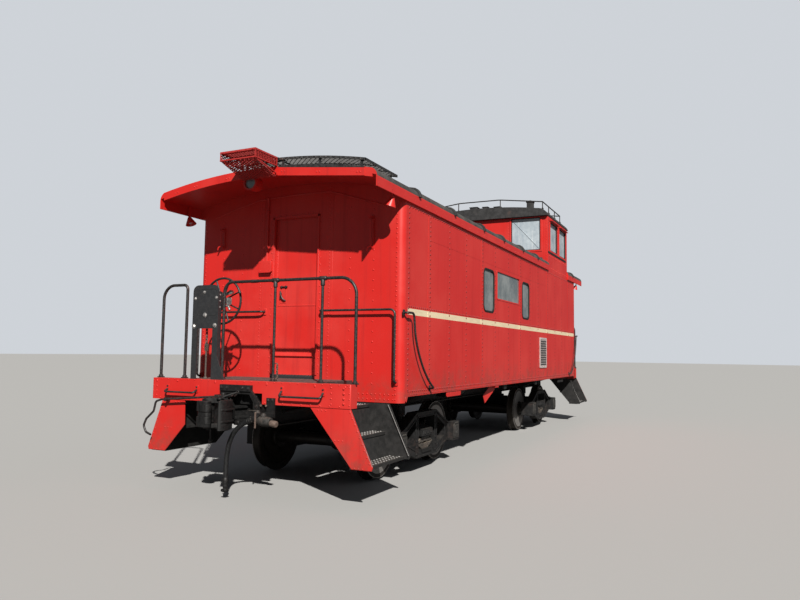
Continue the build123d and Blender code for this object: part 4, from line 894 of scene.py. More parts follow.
for y in (-1.29, -1.22, -1.19, -0.72, -0.68, -0.20, -0.16, 0.44, 0.48, 0.92, 0.96, 1.22, 1.26):
    fas.domes([(-ROOF_END - 0.0, y, roof_z(y) - 0.058)], (-1, 0, 0), 0.009, 0.006)
fas.domes([(x, s * 1.5, 3.318) for x in frange(-5.44, 1.95, 0.31) for s in (-1, 1)], (0, 0, 1), 0.006, 0.004)
fas.turned((-5.420, 0.175, 3.490), (-1, 0, 0), [(0.0, 0.086), (0.004, 0.091), (0.010, 0.091), (0.013, 0.086), (0.013, 0.074), (0.0, 0.074)], 28)
mirrored_ends(fas)
fas.done("roof_edge_fittings", M["red"], slot="body_red", angle=40)
lens = Shape()
lens.turned((-5.4075, 0.175, 3.490), (-1, 0, 0), [(0.0, 0.0735), (0.002, 0.072), (0.006, 0.056), (0.009, 0.030), (0.010, 0.0)], 26)
mirrored_ends(lens)
lens.done("hood_lamp_lens", M["glass"], angle=60)
bulb = Shape()
for s in (-1, 1):
    a = Vector((0, -s * math.sin(math.radians(20)), -math.cos(math.radians(20))))
    c = Vector((-5.020, s * 1.4535, 3.256))
    bulb.turned(c + a * 0.018, a, [(0, 0.013), (0.016, 0.014), (0.034, 0.024), (0.052, 0.028), (0.068, 0.020), (0.074, 0.0)], 18)
mirrored_ends(bulb)
bulb.done("lamp_glasses", M["milky"], angle=60)

# ------------------------------------------------------------------ windows and vent
def frame_ring(shape, outer, inner, lo, hi, axis=1):
    """A flat ring between two outlines of the same point count."""
    n = len(outer)
    put = {0: lambda a, b, t: (t, a, b), 1: lambda a, b, t: (a, t, b)}[axis]
    rings = [[put(*p, lo) for p in outer], [put(*p, hi) for p in outer], [put(*p, hi) for p in inner], [put(*p, lo) for p in inner]]
    faces = []
    for i in range(4):
        j = (i + 1) % 4
        for k in range(n):
            l = (k + 1) % n
            faces.append((i * n + k, j * n + k, j * n + l, i * n + l))
    shape.add(np.concatenate([np.asarray(r, float) for r in rings]), faces)


gasket, thin, vent = Shape(), Shape(), Shape()
for x0, x1, z0, z1, r, w in ((-1.987, -1.484, 2.205, 2.850, 0.095, 0.026), (0.122, 0.588, 2.205, 2.850, 0.095, 0.026)):
    ring = lambda g, rr: rounded(x0 - g, x1 + g, z0 - g, z1 + g, rr)
    frame_ring(gasket, ring(0.010, r + 0.010), ring(-0.016, r - 0.016), -HY - 0.007, -HY + 0.013)
    frame_ring(gasket, ring(0.001, r + 0.001), ring(-0.007, r - 0.007), -HY - 0.010, -HY - 0.004)
x0, x1, z0, z1 = -1.330, -0.045, 2.432, 2.878
frame_ring(thin, rounded(x0 - 0.014, x1 + 0.014, z0 - 0.014, z1 + 0.014, 0.030), rounded(x0 + 0.010, x1 - 0.010, z0 + 0.010, z1 - 0.010, 0.012), -HY - 0.005, -HY + 0.012)
for s in (gasket, thin):
    s.copied(HALF_TURN @ MIRROR_X)
gasket.done("window_gaskets", M["gasket"], angle=40)
thin.done("wide_window_frames", M["side_red"], slot="body_red", angle=40, bevel=0.001)
vent.domes([(x, -HY - 0.0142, z) for x in (1.378, 1.621, 1.864) for z in (1.332, 1.875)], (0, -1, 0), 0.009, 0.004)
vent.domes([(x, -HY - 0.0142, z) for x in (1.378, 1.864) for z in (1.50, 1.71)], (0, -1, 0), 0.007, 0.003)
frame_ring(vent, rounded(1.356, 1.886, 1.310, 1.896, 0.012), rounded(1.393, 1.849, 1.347, 1.859, 0.004), -HY - 0.0145, -HY - 0.001)
blades = Shape()
for i in range(11):
    z = 1.380 + i * 0.0446
    blades.prism([(-HY - 0.0085, z - 0.016), (-HY - 0.0140, z - 0.016), (-HY - 0.0145, z - 0.012), (-HY - 0.0085, z + 0.014)], 1.394, 1.848, 0)
vent.copied(MIRROR_Y)
blades.copied(MIRROR_Y)
blades.done("vent_blades", M["louvre"], bevel=0.0006)
vent.done("vent_frame", M["vent"], bevel=0.0006)

# ------------------------------------------------------------------ cupola
cup, cup_dark, cup_riv = Shape(), Shape(), Shape()
CX0, CX1, CE = 2.075, 3.905, 4.415
for x0, x1, z0, z1 in ((2.260, 2.900, 3.715, 4.325), (3.100, 3.740, 3.715, 4.325)):
    frame_ring(cup, rounded(x0 - 0.030, x1 + 0.030, z0 - 0.030, z1 + 0.030, 0.012), rounded(x0 + 0.004, x1 - 0.004, z0 + 0.004, z1 - 0.004, 0.006), -HY - 0.010, -HY + 0.020)
    cup_dark.box((x1 - 0.030, -HY - 0.004, z0 + 0.004), (x1 - 0.004, -HY + 0.021, z1 - 0.004))
    frame_ring(cup_dark, rounded(x0 + 0.004, x1 - 0.004, z0 + 0.004, z1 - 0.004, 0.006), rounded(x0 + 0.020, x1 - 0.020, z0 + 0.020, z1 - 0.020, 0.006), -HY + 0.004, -HY + 0.021)
    # visor over the pane
    cup.prism([(-HY + 0.002, 4.348), (-HY - 0.060, 4.340), (-HY - 0.062, 4.334), (-HY - 0.060, 4.330), (-HY + 0.002, 4.338)], x0 - 0.05, x1 + 0.05, 0)
    cup_riv.domes([(x, -HY - 0.010, z) for x in frange(x0 - 0.015, x1 + 0.015, 0.11) for z in (z0 - 0.015, z1 + 0.015)], (0, -1, 0), 0.006, 0.003)
    cup_riv.domes([(x, -HY - 0.010, z) for x in (x0 - 0.015, x1 + 0.015) for z in frange(z0 + 0.09, z1 - 0.09, 0.11)], (0, -1, 0), 0.006, 0.003)
cup_dark.box((1.980 + 0.1, -HY - 0.010, 3.652), (3.740, -HY + 0.002, 3.688))
for z in (3.35, 3.60, 4.375):
    cup_riv.domes([(x, -HY, z) for x in frange(CX0 + 0.03, CX1 - 0.03, 0.057)], (0, -1, 0), 0.009, 0.005)
for x in (CX0 + 0.030, 3.000, CX1 - 0.030):
    cup_riv.domes([(x, -HY, z) for z in frange(3.33, 4.36, 0.060)], (0, -1, 0), 0.009, 0.005)
for s in (cup, cup_dark, cup_riv):
    s.copied(MIRROR_Y)
cup2, dark2, riv2, crease = Shape(), Shape(), Shape(), Shape()
for y0, y1 in ((-1.320, -0.693), (0.693, 1.320)):
    frame_ring(cup2, rounded(y0 - 0.030, y1 + 0.030, 3.682, 4.4145, 0.010), rounded(y0 + 0.004, y1 - 0.004, 3.716, 4.396, 0.006), CX0 - 0.010, CX0 + 0.016, axis=0)
    frame_ring(dark2, rounded(y0 + 0.004, y1 - 0.004, 3.716, 4.396, 0.006), rounded(y0 + 0.020, y1 - 0.020, 3.732, 4.380, 0.006), CX0 + 0.003, CX0 + 0.017, axis=0)
    ya, yb = (y1 - 0.022, y0 + 0.022)
    crease.beam((CX0 + 0.0165, ya, 4.374), (CX0 + 0.0165, yb, 3.738), 0.008, 0.012, (1, 0, 0))
    riv2.domes([(CX0 - 0.010, y, z) for y in frange(y0 - 0.015, y1 + 0.015, 0.11) for z in (3.70, 4.405)], (-1, 0, 0), 0.006, 0.003)
for y in (-1.435, -0.640, -0.06, 0.06, 0.640, 1.435):
    riv2.domes([(CX0, y, z) for z in frange(max(3.45, roof_z(min(abs(y), 1.43)) + 0.07), 4.38, 0.057)], (-1, 0, 0), 0.009, 0.005)
riv2.domes([(CX0, y, 4.385) for y in frange(-0.60, 0.60, 0.057)], (-1, 0, 0), 0.009, 0.005)
for s, t in ((cup2, cup), (dark2, cup_dark), (riv2, cup_riv)):
    for turned in (False, True):
        v = np.concatenate(s.v)
        if turned:
            m = np.array(Matrix.Translation((CX0 + CX1, 0, 0)) @ HALF_TURN)
            v = v @ m[:3, :3].T + m[:3, 3]
        t.add(v, s.f)
v = np.concatenate(crease.v)
m = np.array(Matrix.Translation((CX0 + CX1, 0, 0)) @ HALF_TURN)
crease.add(v @ m[:3, :3].T + m[:3, 3], list(crease.f))
crease.done("cupola_pane_creases", M["milky"])
cup.done("cupola_window_frames", M["cupola_red"], slot="body_red", bevel=0.0012)
cup_dark.done("cupola_window_seals", M["gasket"])
cup_riv.done("cupola_rivets", M["cupola_red"], slot="body_red", angle=60)

crown = Shape()          # cap over the cupola's joint, lifting eyes, vents and rail feet


def cup_z(y):
    r = (1.270 ** 2 + 0.090 ** 2) / (2 * 0.090)
    return 4.665 - r + math.sqrt(r * r - y * y)


for x in (2.40, 2.99, 3.58):
    pathl = [(y, cup_z(y)) for y in frange(1.27, -1.27, 0.12)]
    crown.loft([[(x - 0.026, y, z - 0.004), (x - 0.026, y, z + 0.012), (x - 0.012, y, z + 0.020), (x + 0.012, y, z + 0.020), (x + 0.026, y, z + 0.012), (x + 0.026, y, z - 0.004)]
                for y, z in pathl])
for x, y, w, h in ((2.20, 0.16, 0.085, 0.060), (2.22, -0.36, 0.070, 0.045), (2.30, -0.06, 0.060, 0.075)):
    z = cup_z(y)
    crown.prism(rounded(x - w, x + w, y - w, y + w, 0.02), z - 0.006, z + h, 2)
    crown.prism(rounded(x - w - 0.012, x + w + 0.012, y - w - 0.012, y + w + 0.012, 0.025), z + h, z + h + 0.010, 2)
# boxed ventilator at the near corner, and a lamp socket beside it
z = cup_z(-1.06)
crown.prism(rounded(2.185, 2.315, -1.125, -0.995, 0.015), z - 0.02, z + 0.150, 2)
crown.prism(rounded(2.172, 2.328, -1.138, -0.982, 0.018), z + 0.150, z + 0.166, 2)
crown.turned((2.25, -1.06, z + 0.165), (0, 0, 1), [(0, 0.030), (0.030, 0.028), (0.036, 0.020), (0.036, 0.0)], 14)
for x, y in ((2.30, -1.10), (3.70, -1.10), (2.30, 1.10), (3.70, 1.10)):
    z = cup_z(y)
    crown.prism(rounded(x - 0.045, x + 0.045, y - 0.03, y + 0.03, 0.01), z - 0.006, z + 0.008, 2)
    crown.tube([(x - 0.028, y, z), (x - 0.026, y, z + 0.040), (x, y, z + 0.058), (x + 0.026, y, z + 0.040), (x + 0.028, y, z)], 0.007, 8)
for x in (2.040, 3.640):
    for y in (-1.37, -0.47, 0.47, 1.37):
        z = cup_z(y) if abs(y) < 1 else 4.560
        crown.turned((x, y, z - 0.004), (0, 0, 1), [(0, 0.030), (0.007, 0.030), (0.010, 0.016), (0.030, 0.014)], 14)
for x in (2.57, 3.11):
    for y in (-1.37, 1.37):
        crown.turned((x, y, 4.556), (0, 0, 1), [(0, 0.030), (0.007, 0.030), (0.010, 0.016), (0.030, 0.014)], 14)
crown.done("cupola_roof_fittings", M["roof_black"], angle=40)

# ------------------------------------------------------------------ platforms and beams
studs, treads, edge = Shape(), Shape(), Shape()
k = 0
for i, x in enumerate(frange(-5.470, -4.800, 0.034)):
    for j, y in enumerate(frange(-0.815, 0.815, 0.034)):
        a = 0.011 if (i + j) % 2 else 0.0035
        b = 0.0035 if (i + j) % 2 else 0.011
        studs.add([(x - a, y, 1.2448), (x, y - b, 1.2448), (x + a, y, 1.2448), (x, y + b, 1.2448), (x, y, 1.2472)],
                  [(0, 1, 4), (1, 2, 4), (2, 3, 4), (3, 0, 4), (3, 2, 1, 0)])
mirrored_ends(studs)
studs.done("deck_tread_pattern", M["deck"], angle=20)

TREADS_WIDE = [(-0.868, -1.075, 0.988), (-1.106, -1.280, 0.697), (-1.322, -1.512, 0.440)]
TREADS_BENT = [(-0.846, -1.012, 0.988), (-0.932, -1.160, 0.697), (-1.108, -1.318, 0.440)]
OUT_WIDE = [(-0.845, 1.002), (-1.326, 1.002), (-1.585, 0.450), (-1.573, 0.415), (-1.345, 0.415)]
OUT_BENT = [(-0.836, 1.002), (-1.168, 1.002), (-1.372, 0.450), (-1.360, 0.415), (-1.112, 0.415), (-0.826, 0.726)]


def step_set(treads_shape, skin, dots, rows, outline):
    """Tread nosings and studs, and the painted outside of the stringers."""
    for y_in, y_out, z in rows:
        treads_shape.tube([(-5.618, y_out + 0.010, z - 0.006), (-4.774, y_out + 0.010, z - 0.006)], 0.0095, 8)
        for x in frange(-5.585, -4.80, 0.062):
            for j, y in enumerate(frange(y_out + 0.045, y_in - 0.03, 0.052)):
                xx = x + (0.031 if j % 2 else 0.0)
                if xx < -4.79:
                    dots.domes([(xx, y, z - 0.0005)], (0, 0, 1), 0.0115, 0.0065, 6)
    (ya, za), (yb, zb) = outline[1], outline[2]
    for x in (-5.6285, -4.7945):                                         # painted highlight: a light line along the stringers' edges where the plate's edge catches the light
        dots.tube([(x, ya + 0.0055, za - 0.010), (x, yb + 0.0055, zb + 0.006)], 0.0032, 6)
    n = len(outline)
    cy, cz = sum(p[0] for p in outline) / n, sum(p[1] for p in outline) / n
    inner = [(y + (cy - y) * 0.02, z + (cz - z) * 0.02) for y, z in outline]
    skin.prism(inner, -5.6312, -5.6288, 0)
    front = [outline[1], outline[2]]
    (ya, za), (yb, zb) = front
    for t in frange(0.06, 0.94, 0.115):
        y, z = ya + (yb - ya) * t, za + (zb - za) * t
        skin.domes([(-5.6312, y + 0.022, z)], (-1, 0, 0), 0.0085, 0.0045)
    for _, y_out, z in rows:
        for y in frange(y_out + 0.04, y_out + 0.13, 0.045):
            skin.domes([(-5.6312, y, z - 0.015)], (-1, 0, 0), 0.0085, 0.0045)


wide_t, wide_s, bent_t, bent_s, wide_d, bent_d, tread_dots = (Shape() for _ in range(7))
step_set(wide_t, wide_s, wide_d, TREADS_WIDE, OUT_WIDE)
step_set(bent_t, bent_s, bent_d, TREADS_BENT, OUT_BENT)
for src, dst in ((wide_t, treads), (wide_s, edge), (wide_d, tread_dots)):
    v = np.concatenate(src.v)
    dst.add(v, src.f)
    for mat in (HALF_TURN, MIRROR_X):
        m = np.array(mat)[:3, :3]
        faces = [tuple(reversed(f)) for f in src.f] if np.linalg.det(m) < 0 else src.f
        dst.add(v @ m.T, faces)
for src, dst in ((bent_t, treads), (bent_s, edge), (bent_d, tread_dots)):
    v = np.concatenate(src.v) @ np.array(MIRROR_Y)[:3, :3].T
    dst.add(v, [tuple(reversed(f)) for f in src.f])
treads.done("step_treads", M["step_black"], angle=50)
tread_dots.done("step_tread_studs", M["worn_stud"], angle=60)
edge.done("stringer_plates", M["step_red"], slot="body_red", angle=50)

beam, nuts, bare = Shape(), Shape(), Shape()
BX = -BEAM_X
beam.domes([(BX, y, z) for y in (-1.100, 1.262) for z in frange(1.040, 1.205, 0.052)], (-1, 0, 0), 0.010, 0.006)
beam.domes([(BX, y, 1.2325) for y in frange(-1.29, 1.29, 0.100)], (-1, 0, 0), 0.0075, 0.0045)
beam.bolts([(BX, -1.250, z) for z in (1.050, 1.100, 1.150, 1.200)], (-1, 0, 0), 0.012, 0.010, False)
beam.domes([(BX, s * 1.312, z) for s in (-1, 1) for z in frange(1.035, 1.21, 0.058)], (-1, 0, 0), 0.008, 0.004)
for y in (-0.905, -0.300, 0.400, 0.948, -1.313 + 0.05, 1.313 - 0.05):
    beam.domes([(BX, y, 1.214)], (-1, 0, 0), 0.012, 0.007)
beam.domes([(BX, y, 1.020) for y in list(frange(-1.20, -0.28, 0.115)) + list(frange(0.32, 1.20, 0.110))], (-1, 0, 0), 0.009, 0.005)
# hand-hold feet
for y, z in ((0.655, 1.121), (1.089, 1.121), (-0.499, 1.149), (-1.010, 1.149)):
    beam.prism(rounded(y - 0.020, y + 0.020, z - 0.032, z + 0.050, 0.012), BX - 0.009, BX + 0.001, 0)
    nuts.bolts([(BX - 0.009, y, z + 0.033)], (-1, 0, 0), 0.010, 0.008, False)
nuts.bolts([(-5.655, y, z) for y in (-0.395, -0.338) for z in (1.052,)], (-1, 0, 0), 0.012, 0.010)
nuts.bolts([(-5.685, y, 1.166) for y in (-0.095, -0.02, 0.19, 0.268)], (-1, 0, 0), 0.014, 0.011)
nuts.bolts([(-5.667, y, z) for y, z in ((0.256, 1.09), (0.256, 0.98), (0.256, 0.86), (-0.195, 0.98), (-0.195, 0.86))], (-1, 0, 0), 0.014, 0.011)
nuts.bolts([(-5.682, y, 0.803) for y in (-0.11, 0.03, 0.17)], (-1, 0, 0), 0.012, 0.010)
# railing feet, collars and tees
for y in (-1.313, -0.905, -0.300, 0.400, 0.948, 1.313):
    nuts.bolts([(-5.530, y + t, 1.253) for t in (-0.027, 0.027)], (0, 0, 1), 0.0075, 0.008, False)
    bare.turned((-5.530, y, 1.252), (0, 0, 1), [(0.0, 0.026), (0.018, 0.026), (0.026, 0.0185)], 16)
for y in (-0.905, -0.300):
    bare.turned((-5.530, y, 2.255), (0, 0, 1), [(0.0, 0.017), (0.006, 0.0235), (0.062, 0.0235), (0.068, 0.021)], 16)
    bare.turned((-5.530, y - 0.045, 2.335), (0, 1, 0), [(0.0, 0.0195), (0.006, 0.0245), (0.084, 0.0245), (0.090, 0.0195)], 16)
    bare.domes([(-5.5545, y, 2.335)], (-1, 0, 0), 0.007, 0.004)
for s in (beam, nuts, bare):
    mirrored_ends(s)
beam.done("beam_rivets", M["red"], slot="body_red", angle=60)
nuts.done("platform_nuts", M["rail_black"], angle=30)
bare.done("railing_fittings", M["rail_black"], angle=40)

# ------------------------------------------------------------------ hand brake
grey, bright, chain = Shape(), Shape(), Shape()
SX = -5.612
for y, z in ((0.620, 2.222), (0.748, 2.151), (0.444, 2.157)):
    bright.bolts([(SX - 0.002, y, z)], (-1, 0, 0), 0.013, 0.010)
for y, z in ((0.602, 1.963), (0.760, 1.836), (0.456, 1.845)):
    bright.bolts([(SX - 0.002, y, z)], (-1, 0, 0), 0.019, 0.014)
for z in (2.05, 2.12, 2.19, 1.40, 1.35, 1.30):
    for s, y in ((1, 0.785), (-1, 0.415)):
        bright.domes([(SX + 0.030, y, min(z, 2.20))], (0, s, 0), 0.012, 0.007)
grey.box((SX - 0.0012, 0.7145, 1.26), (SX + 0.001, 0.7175, 2.22))
frame_ring(grey, rounded(0.428, 0.722, 1.955, 2.262, 0.05), rounded(0.436, 0.714, 1.963, 2.254, 0.045), SX - 0.0025, SX + 0.001, axis=0)
grey.prism(rounded(0.484, 0.666, 2.014, 2.241, 0.03), SX + 0.140, SX + 0.156, 0)
grey.bolts([(SX + 0.156, y, z) for y in (0.505, 0.645) for z in (2.036, 2.219)], (1, 0, 0), 0.009, 0.007, False)
WX, WY, WZ = -5.380, 0.555, 2.139
bright.turned((-5.450, WY, WZ), (1, 0, 0), [(0.0, 0.030), (0.010, 0.046), (0.026, 0.046), (0.030, 0.034), (0.046, 0.034), (0.048, 0.046)], 26)
bright.turned((-5.438, WY, WZ), (1, 0, 0), [(0.0, 0.060), (0.003, 0.078), (0.013, 0.078), (0.016, 0.060)], 30)
bright.prism([(WY - 0.186, WZ + 0.082), (WY - 0.168, WZ + 0.112), (WY - 0.050, WZ + 0.078), (WY - 0.062, WZ + 0.044)], -5.440, -5.424, 0)
bright.turned((-5.448, WY - 0.166, WZ + 0.090), (1, 0, 0), [(0.0, 0.0), (0.0, 0.026), (0.034, 0.026), (0.034, 0.0)], 18)
bright.tube([(-5.430, WY - 0.060, WZ - 0.062), (-5.430, WY - 0.130, WZ - 0.062), (-5.440, WY - 0.160, WZ - 0.112)], 0.014, 10)
bright.prism(rounded(WY - 0.180, WY - 0.108, WZ - 0.052, WZ + 0.030, 0.015), -5.446, -5.432, 0)
for kk in range(16):
    t = 2 * math.pi * kk / 16
    c, n_ = math.cos(t), math.sin(t)
    bright.beam((-5.440, WY + 0.044 * c, WZ + 0.044 * n_), (-5.424, WY + 0.044 * c, WZ + 0.044 * n_), 0.010, 0.010, (0, c, n_))
bright.turned((-5.356, WY, WZ), (1, 0, 0), [(0.0, 0.036), (0.008, 0.036), (0.012, 0.030), (0.012, 0.021)], 20)
bright.bolts([(-5.346, WY, WZ)], (1, 0, 0), 0.017, 0.014, False)
# chain from the gear case, a clevis, and the rod down through the deck
z = 2.012
for i in range(11):
    zc = z - i * 0.0355
    if i % 2:
        ringp = [(-5.535, 0.635 + 0.012 * math.cos(t), zc - 0.020 + 0.024 * math.sin(t)) for t in frange(0, 2 * math.pi, 0.52)][:-1]
    else:
        ringp = [(-5.535 + 0.012 * math.cos(t), 0.635, zc - 0.020 + 0.024 * math.sin(t)) for t in frange(0, 2 * math.pi, 0.52)][:-1]
    chain.tube(ringp, 0.0052, 8, closed=True)
chain.prism([(0.619, 1.560), (0.651, 1.560), (0.651, 1.632), (0.643, 1.646), (0.627, 1.646), (0.619, 1.632)], -5.549, -5.545, 0)
chain.prism([(0.619, 1.560), (0.651, 1.560), (0.651, 1.632), (0.643, 1.646), (0.627, 1.646), (0.619, 1.632)], -5.525, -5.521, 0)
chain.turned((-5.555, 0.635, 1.622), (1, 0, 0), [(0.0, 0.0), (0.0, 0.010), (0.040, 0.010), (0.040, 0.0)], 12)
chain.tube([(-5.535, 0.635, 1.585), (-5.535, 0.635, 1.243)], 0.0105, 12)
chain.turned((-5.535, 0.635, 1.2435), (0, 0, 1), [(0.0, 0.030), (0.006, 0.030), (0.010, 0.020), (0.024, 0.018)], 14)
for s in (grey, bright, chain):
    mirrored_ends(s)
low = Shape()            # close row of rivets along the lower edge of the sides, in dark red as painted shade for the rivets' shadows
low.domes([(x, -HY - 0.0005, 1.096) for x in frange(-4.52, 4.52, 0.048)], (0, -1, 0), 0.0095, 0.0055)
low.copied(MIRROR_Y)
low.done("side_edge_rivets", M["rivet_red"], angle=60)
grey.done("brake_stand_fittings", M["brake_grey"], angle=40)
bright.done("brake_wheel_hub", M["bolt"], angle=40)
chain.done("hand_brake_chain", M["iron"], angle=50)

# ------------------------------------------------------------------ couplers
def eased(outline, times=2):
    """The outline with its corners cut, so that it reads as a casting."""
    for _ in range(times):
        out = []
        for (a, b), (c, d) in zip(outline, outline[1:] + outline[:1]):
            out += [(a * 0.75 + c * 0.25, b * 0.75 + d * 0.25), (a * 0.25 + c * 0.75, b * 0.25 + d * 0.75)]
        outline = out
    return outline


rod = Shape()            # rod that hangs from the lever
rod.tube([(-5.700, 0.392, 1.062), (-5.702, 0.390, 0.990), (-5.702, 0.384, 0.640), (-5.702, 0.380, 0.590)], 0.0085, 10)
rod.turned((-5.702, 0.380, 0.600), (0, 0, -1), [(0.0, 0.0), (0.0, 0.017), (0.010, 0.022), (0.034, 0.022), (0.044, 0.014), (0.044, 0.0)], 14)
rod.turned((-5.702, 0.391, 1.040), (0, 0, 1), [(0.0, 0.0), (0.0, 0.017), (0.030, 0.017), (0.030, 0.0)], 12)
mirrored_ends(rod)
rod.done("hanging_rods", M["rail_black"], angle=40)

CZ, PIN, LUG, IN_LUG = 0.901, (-5.905, 0.118), 0.150, 0.108
SWUNG = Matrix.Translation((-5.170, 0, 0)) @ Matrix.Rotation(math.radians(-13.0), 4, "Z") @ Matrix.Translation((5.170, 0, 0))


def swing(shape):
    """Turn what was drawn straight ahead about the butt of the shank."""
    m = np.array(SWUNG)
    shape.v = [np.concatenate(shape.v) @ m[:3, :3].T + m[:3, 3]]


HEAD = [(-5.800, -0.150), (-5.800, 0.150), (-5.840, 0.195), (-5.960, 0.195), (-5.975, 0.060), (-5.830, 0.020),
        (-5.825, -0.040), (-5.900, -0.150), (-6.035, -0.215), (-6.052, -0.240), (-6.030, -0.260), (-5.960, -0.262), (-5.840, -0.205)]
GUARD = [(-5.800, -0.150), (-5.800, 0.150), (-5.818, 0.170), (-5.818, 0.030), (-5.830, 0.020), (-5.825, -0.040),
         (-5.900, -0.150), (-6.035, -0.215), (-6.052, -0.240), (-6.030, -0.260), (-5.960, -0.262), (-5.840, -0.205)]
NOSE = [(-5.845, 0.162), (-5.950, 0.162), (-6.012, 0.156), (-6.040, 0.138), (-6.052, 0.090), (-6.048, 0.020), (-6.036, -0.018),
        (-6.000, -0.030), (-5.972, -0.026), (-5.955, 0.010), (-5.946, 0.060), (-5.905, 0.074), (-5.850, 0.076)]
cast = Shape()
cast.prism(eased(HEAD), CZ + IN_LUG, CZ + LUG, 2)
cast.prism(eased(HEAD), CZ - LUG, CZ - IN_LUG, 2)
cast.prism(eased(GUARD, 1), CZ - IN_LUG - 0.0005, CZ + IN_LUG + 0.0005, 2)
inner = [(-5.832, -0.175), (-5.832, -0.05), (-5.905, -0.160), (-6.000, -0.218), (-5.955, -0.240), (-5.860, -0.200)]
for z0, z1 in ((CZ + LUG - 0.001, CZ + LUG + 0.011), (CZ - LUG - 0.011, CZ - LUG + 0.001)):      # thick edges of the head
    cast.prism(eased([(-5.815, -0.120), (-5.815, 0.135), (-5.850, 0.178), (-5.945, 0.178), (-5.958, 0.075), (-5.846, 0.040), (-5.842, -0.050)]), z0, z1, 2)
cast.prism(eased([(-5.870, -0.175), (-6.020, -0.225), (-6.030, -0.246), (-5.965, -0.250), (-5.865, -0.205)]), CZ - LUG - 0.006, CZ + LUG + 0.006, 2)
for zz in (-0.060, 0.060):                                               # ribs outside the guard arm
    cast.prism([(-5.830, -0.200), (-5.960, -0.262), (-6.030, -0.258), (-6.020, -0.268), (-5.955, -0.272), (-5.825, -0.216)], CZ + zz - 0.009, CZ + zz + 0.009, 2)
for z0, way in ((CZ + LUG, 1), (CZ - LUG, -1)):                          # bosses and pin
    cast.turned((*PIN, z0), (0, 0, way), [(0.0, 0.052), (0.008, 0.050), (0.012, 0.044), (0.012, 0.019)], 28)
cast.turned((*PIN, CZ + LUG + 0.008), (0, 0, 1), [(0.0, 0.032), (0.010, 0.032), (0.015, 0.026), (0.015, 0.0)], 22)
cast.turned((*PIN, CZ - LUG - 0.030), (0, 0, 1), [(0.0, 0.0), (0.0, 0.019), (0.050, 0.019)], 18)
cast.tube([(PIN[0] - 0.028, PIN[1], CZ - LUG - 0.023), (PIN[0] + 0.028, PIN[1], CZ - LUG - 0.023)], 0.004, 6)
shank = [(-0.064, -0.070), (0.064, -0.070), (0.064, -0.046), (0.034, -0.038), (0.034, 0.038), (0.064, 0.046), (0.064, 0.070),
         (-0.064, 0.070), (-0.064, 0.046), (-0.034, 0.038), (-0.034, -0.038), (-0.064, -0.046)]
cast.prism([(y, CZ + z) for y, z in shank], -5.806, -5.480, 0)
cast.loft([[(-5.800, -0.148, CZ - 0.135), (-5.800, 0.146, CZ - 0.135), (-5.800, 0.146, CZ + 0.135), (-5.800, -0.148, CZ + 0.135)],
           [(-5.745, -0.085, CZ - 0.084), (-5.745, 0.085, CZ - 0.084), (-5.745, 0.085, CZ + 0.084), (-5.745, -0.085, CZ + 0.084)],
           [(-5.700, -0.063, CZ - 0.069), (-5.700, 0.063, CZ - 0.069), (-5.700, 0.063, CZ + 0.069), (-5.700, -0.063, CZ + 0.069)]])
# lock lifter, eye and the link to the lever
cast.turned((-5.852, 0.005, CZ + LUG - 0.002), (0, 0, 1), [(0.0, 0.034), (0.014, 0.034), (0.020, 0.026), (0.020, 0.0)], 18)
swing(cast)
cast.tube([(-5.812, 0.148, CZ + LUG + 0.010), (-5.785, 0.110, CZ + 0.184), (-5.745, 0.062, CZ + 0.204), (-5.708, 0.040, CZ + 0.216)], 0.009, 8)
cast.tube([(-5.700, 0.035 + 0.018 * math.cos(t), CZ + 0.219 + 0.018 * math.sin(t)) for t in frange(0, 2 * math.pi, 0.5)][:-1], 0.006, 8, closed=True)
mirrored_ends(cast)
o = cast.done("coupler_castings", M["coupler"], angle=40, bevel=0.007, segments=2)
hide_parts("couplers")
TALL = [(-5.972, -0.028), (-6.040, -0.018), (-6.052, 0.090), (-6.040, 0.148), (-6.004, 0.155), (-6.009, 0.118), (-5.998, 0.075), (-5.975, 0.042), (-5.966, 0.005)]
for end, turn in (("b", None), ("a", HALF_TURN)):
    kn = Shape()
    kn.prism(eased(NOSE), CZ + 0.026, CZ + 0.101, 2)
    kn.prism(eased(NOSE), CZ - 0.101, CZ - 0.026, 2)
    slim = [(-5.905 + (x + 5.905) * 0.93, 0.118 + (y - 0.118) * 0.94) for x, y in NOSE]
    kn.prism(eased(slim), CZ - 0.0265, CZ + 0.0265, 2)
    for z0, z1 in ((CZ + 0.028, CZ + 0.135), (CZ - 0.135, CZ - 0.028)):
        kn.prism(eased([(x - 0.0015, y) for x, y in TALL], 1), z0, z1, 2)
    kn.turned((-6.026, 0.070, CZ + 0.134), (0, 0, 1), [(0.0, 0.016), (0.004, 0.016), (0.004, 0.008), (-0.002, 0.008)], 16)
    kn.turned((*PIN, CZ + 0.1005), (0, 0, 1), [(0.0, 0.036), (0.003, 0.035), (0.003, 0.0)], 22)
    swing(kn)
    if turn is not None:
        kn.v = [np.concatenate(kn.v) @ np.array(turn)[:3, :3].T]
    o = kn.done(f"knuckle_casting_{end}", M["coupler"], body=f"coupler_knuckle_{end}", angle=40, bevel=0.008, segments=2)
    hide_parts(f"knuckle_{end}")
# draft gear in its pocket behind the striker
pocket = Shape()
for y in (-0.148, 0.202):
    pocket.prism([(-5.605, 0.840), (-5.490, 0.780), (-5.490, 1.190), (-5.605, 1.128)], y, y + 0.012, 1)
pocket.box((-5.520, -0.137, 0.800), (-5.485, 0.203, 1.185))
pocket.prism(rounded(-0.105, 0.105, 0.985, 1.150, 0.02), -5.570, -5.519, 0)
for y in (-0.07, 0.07):
    pocket.box((-5.585, y - 0.010, 0.985), (-5.519, y + 0.010, 1.120))
mirrored_ends(pocket)
pocket.done("draft_gear", M["coupler"], bevel=0.004)

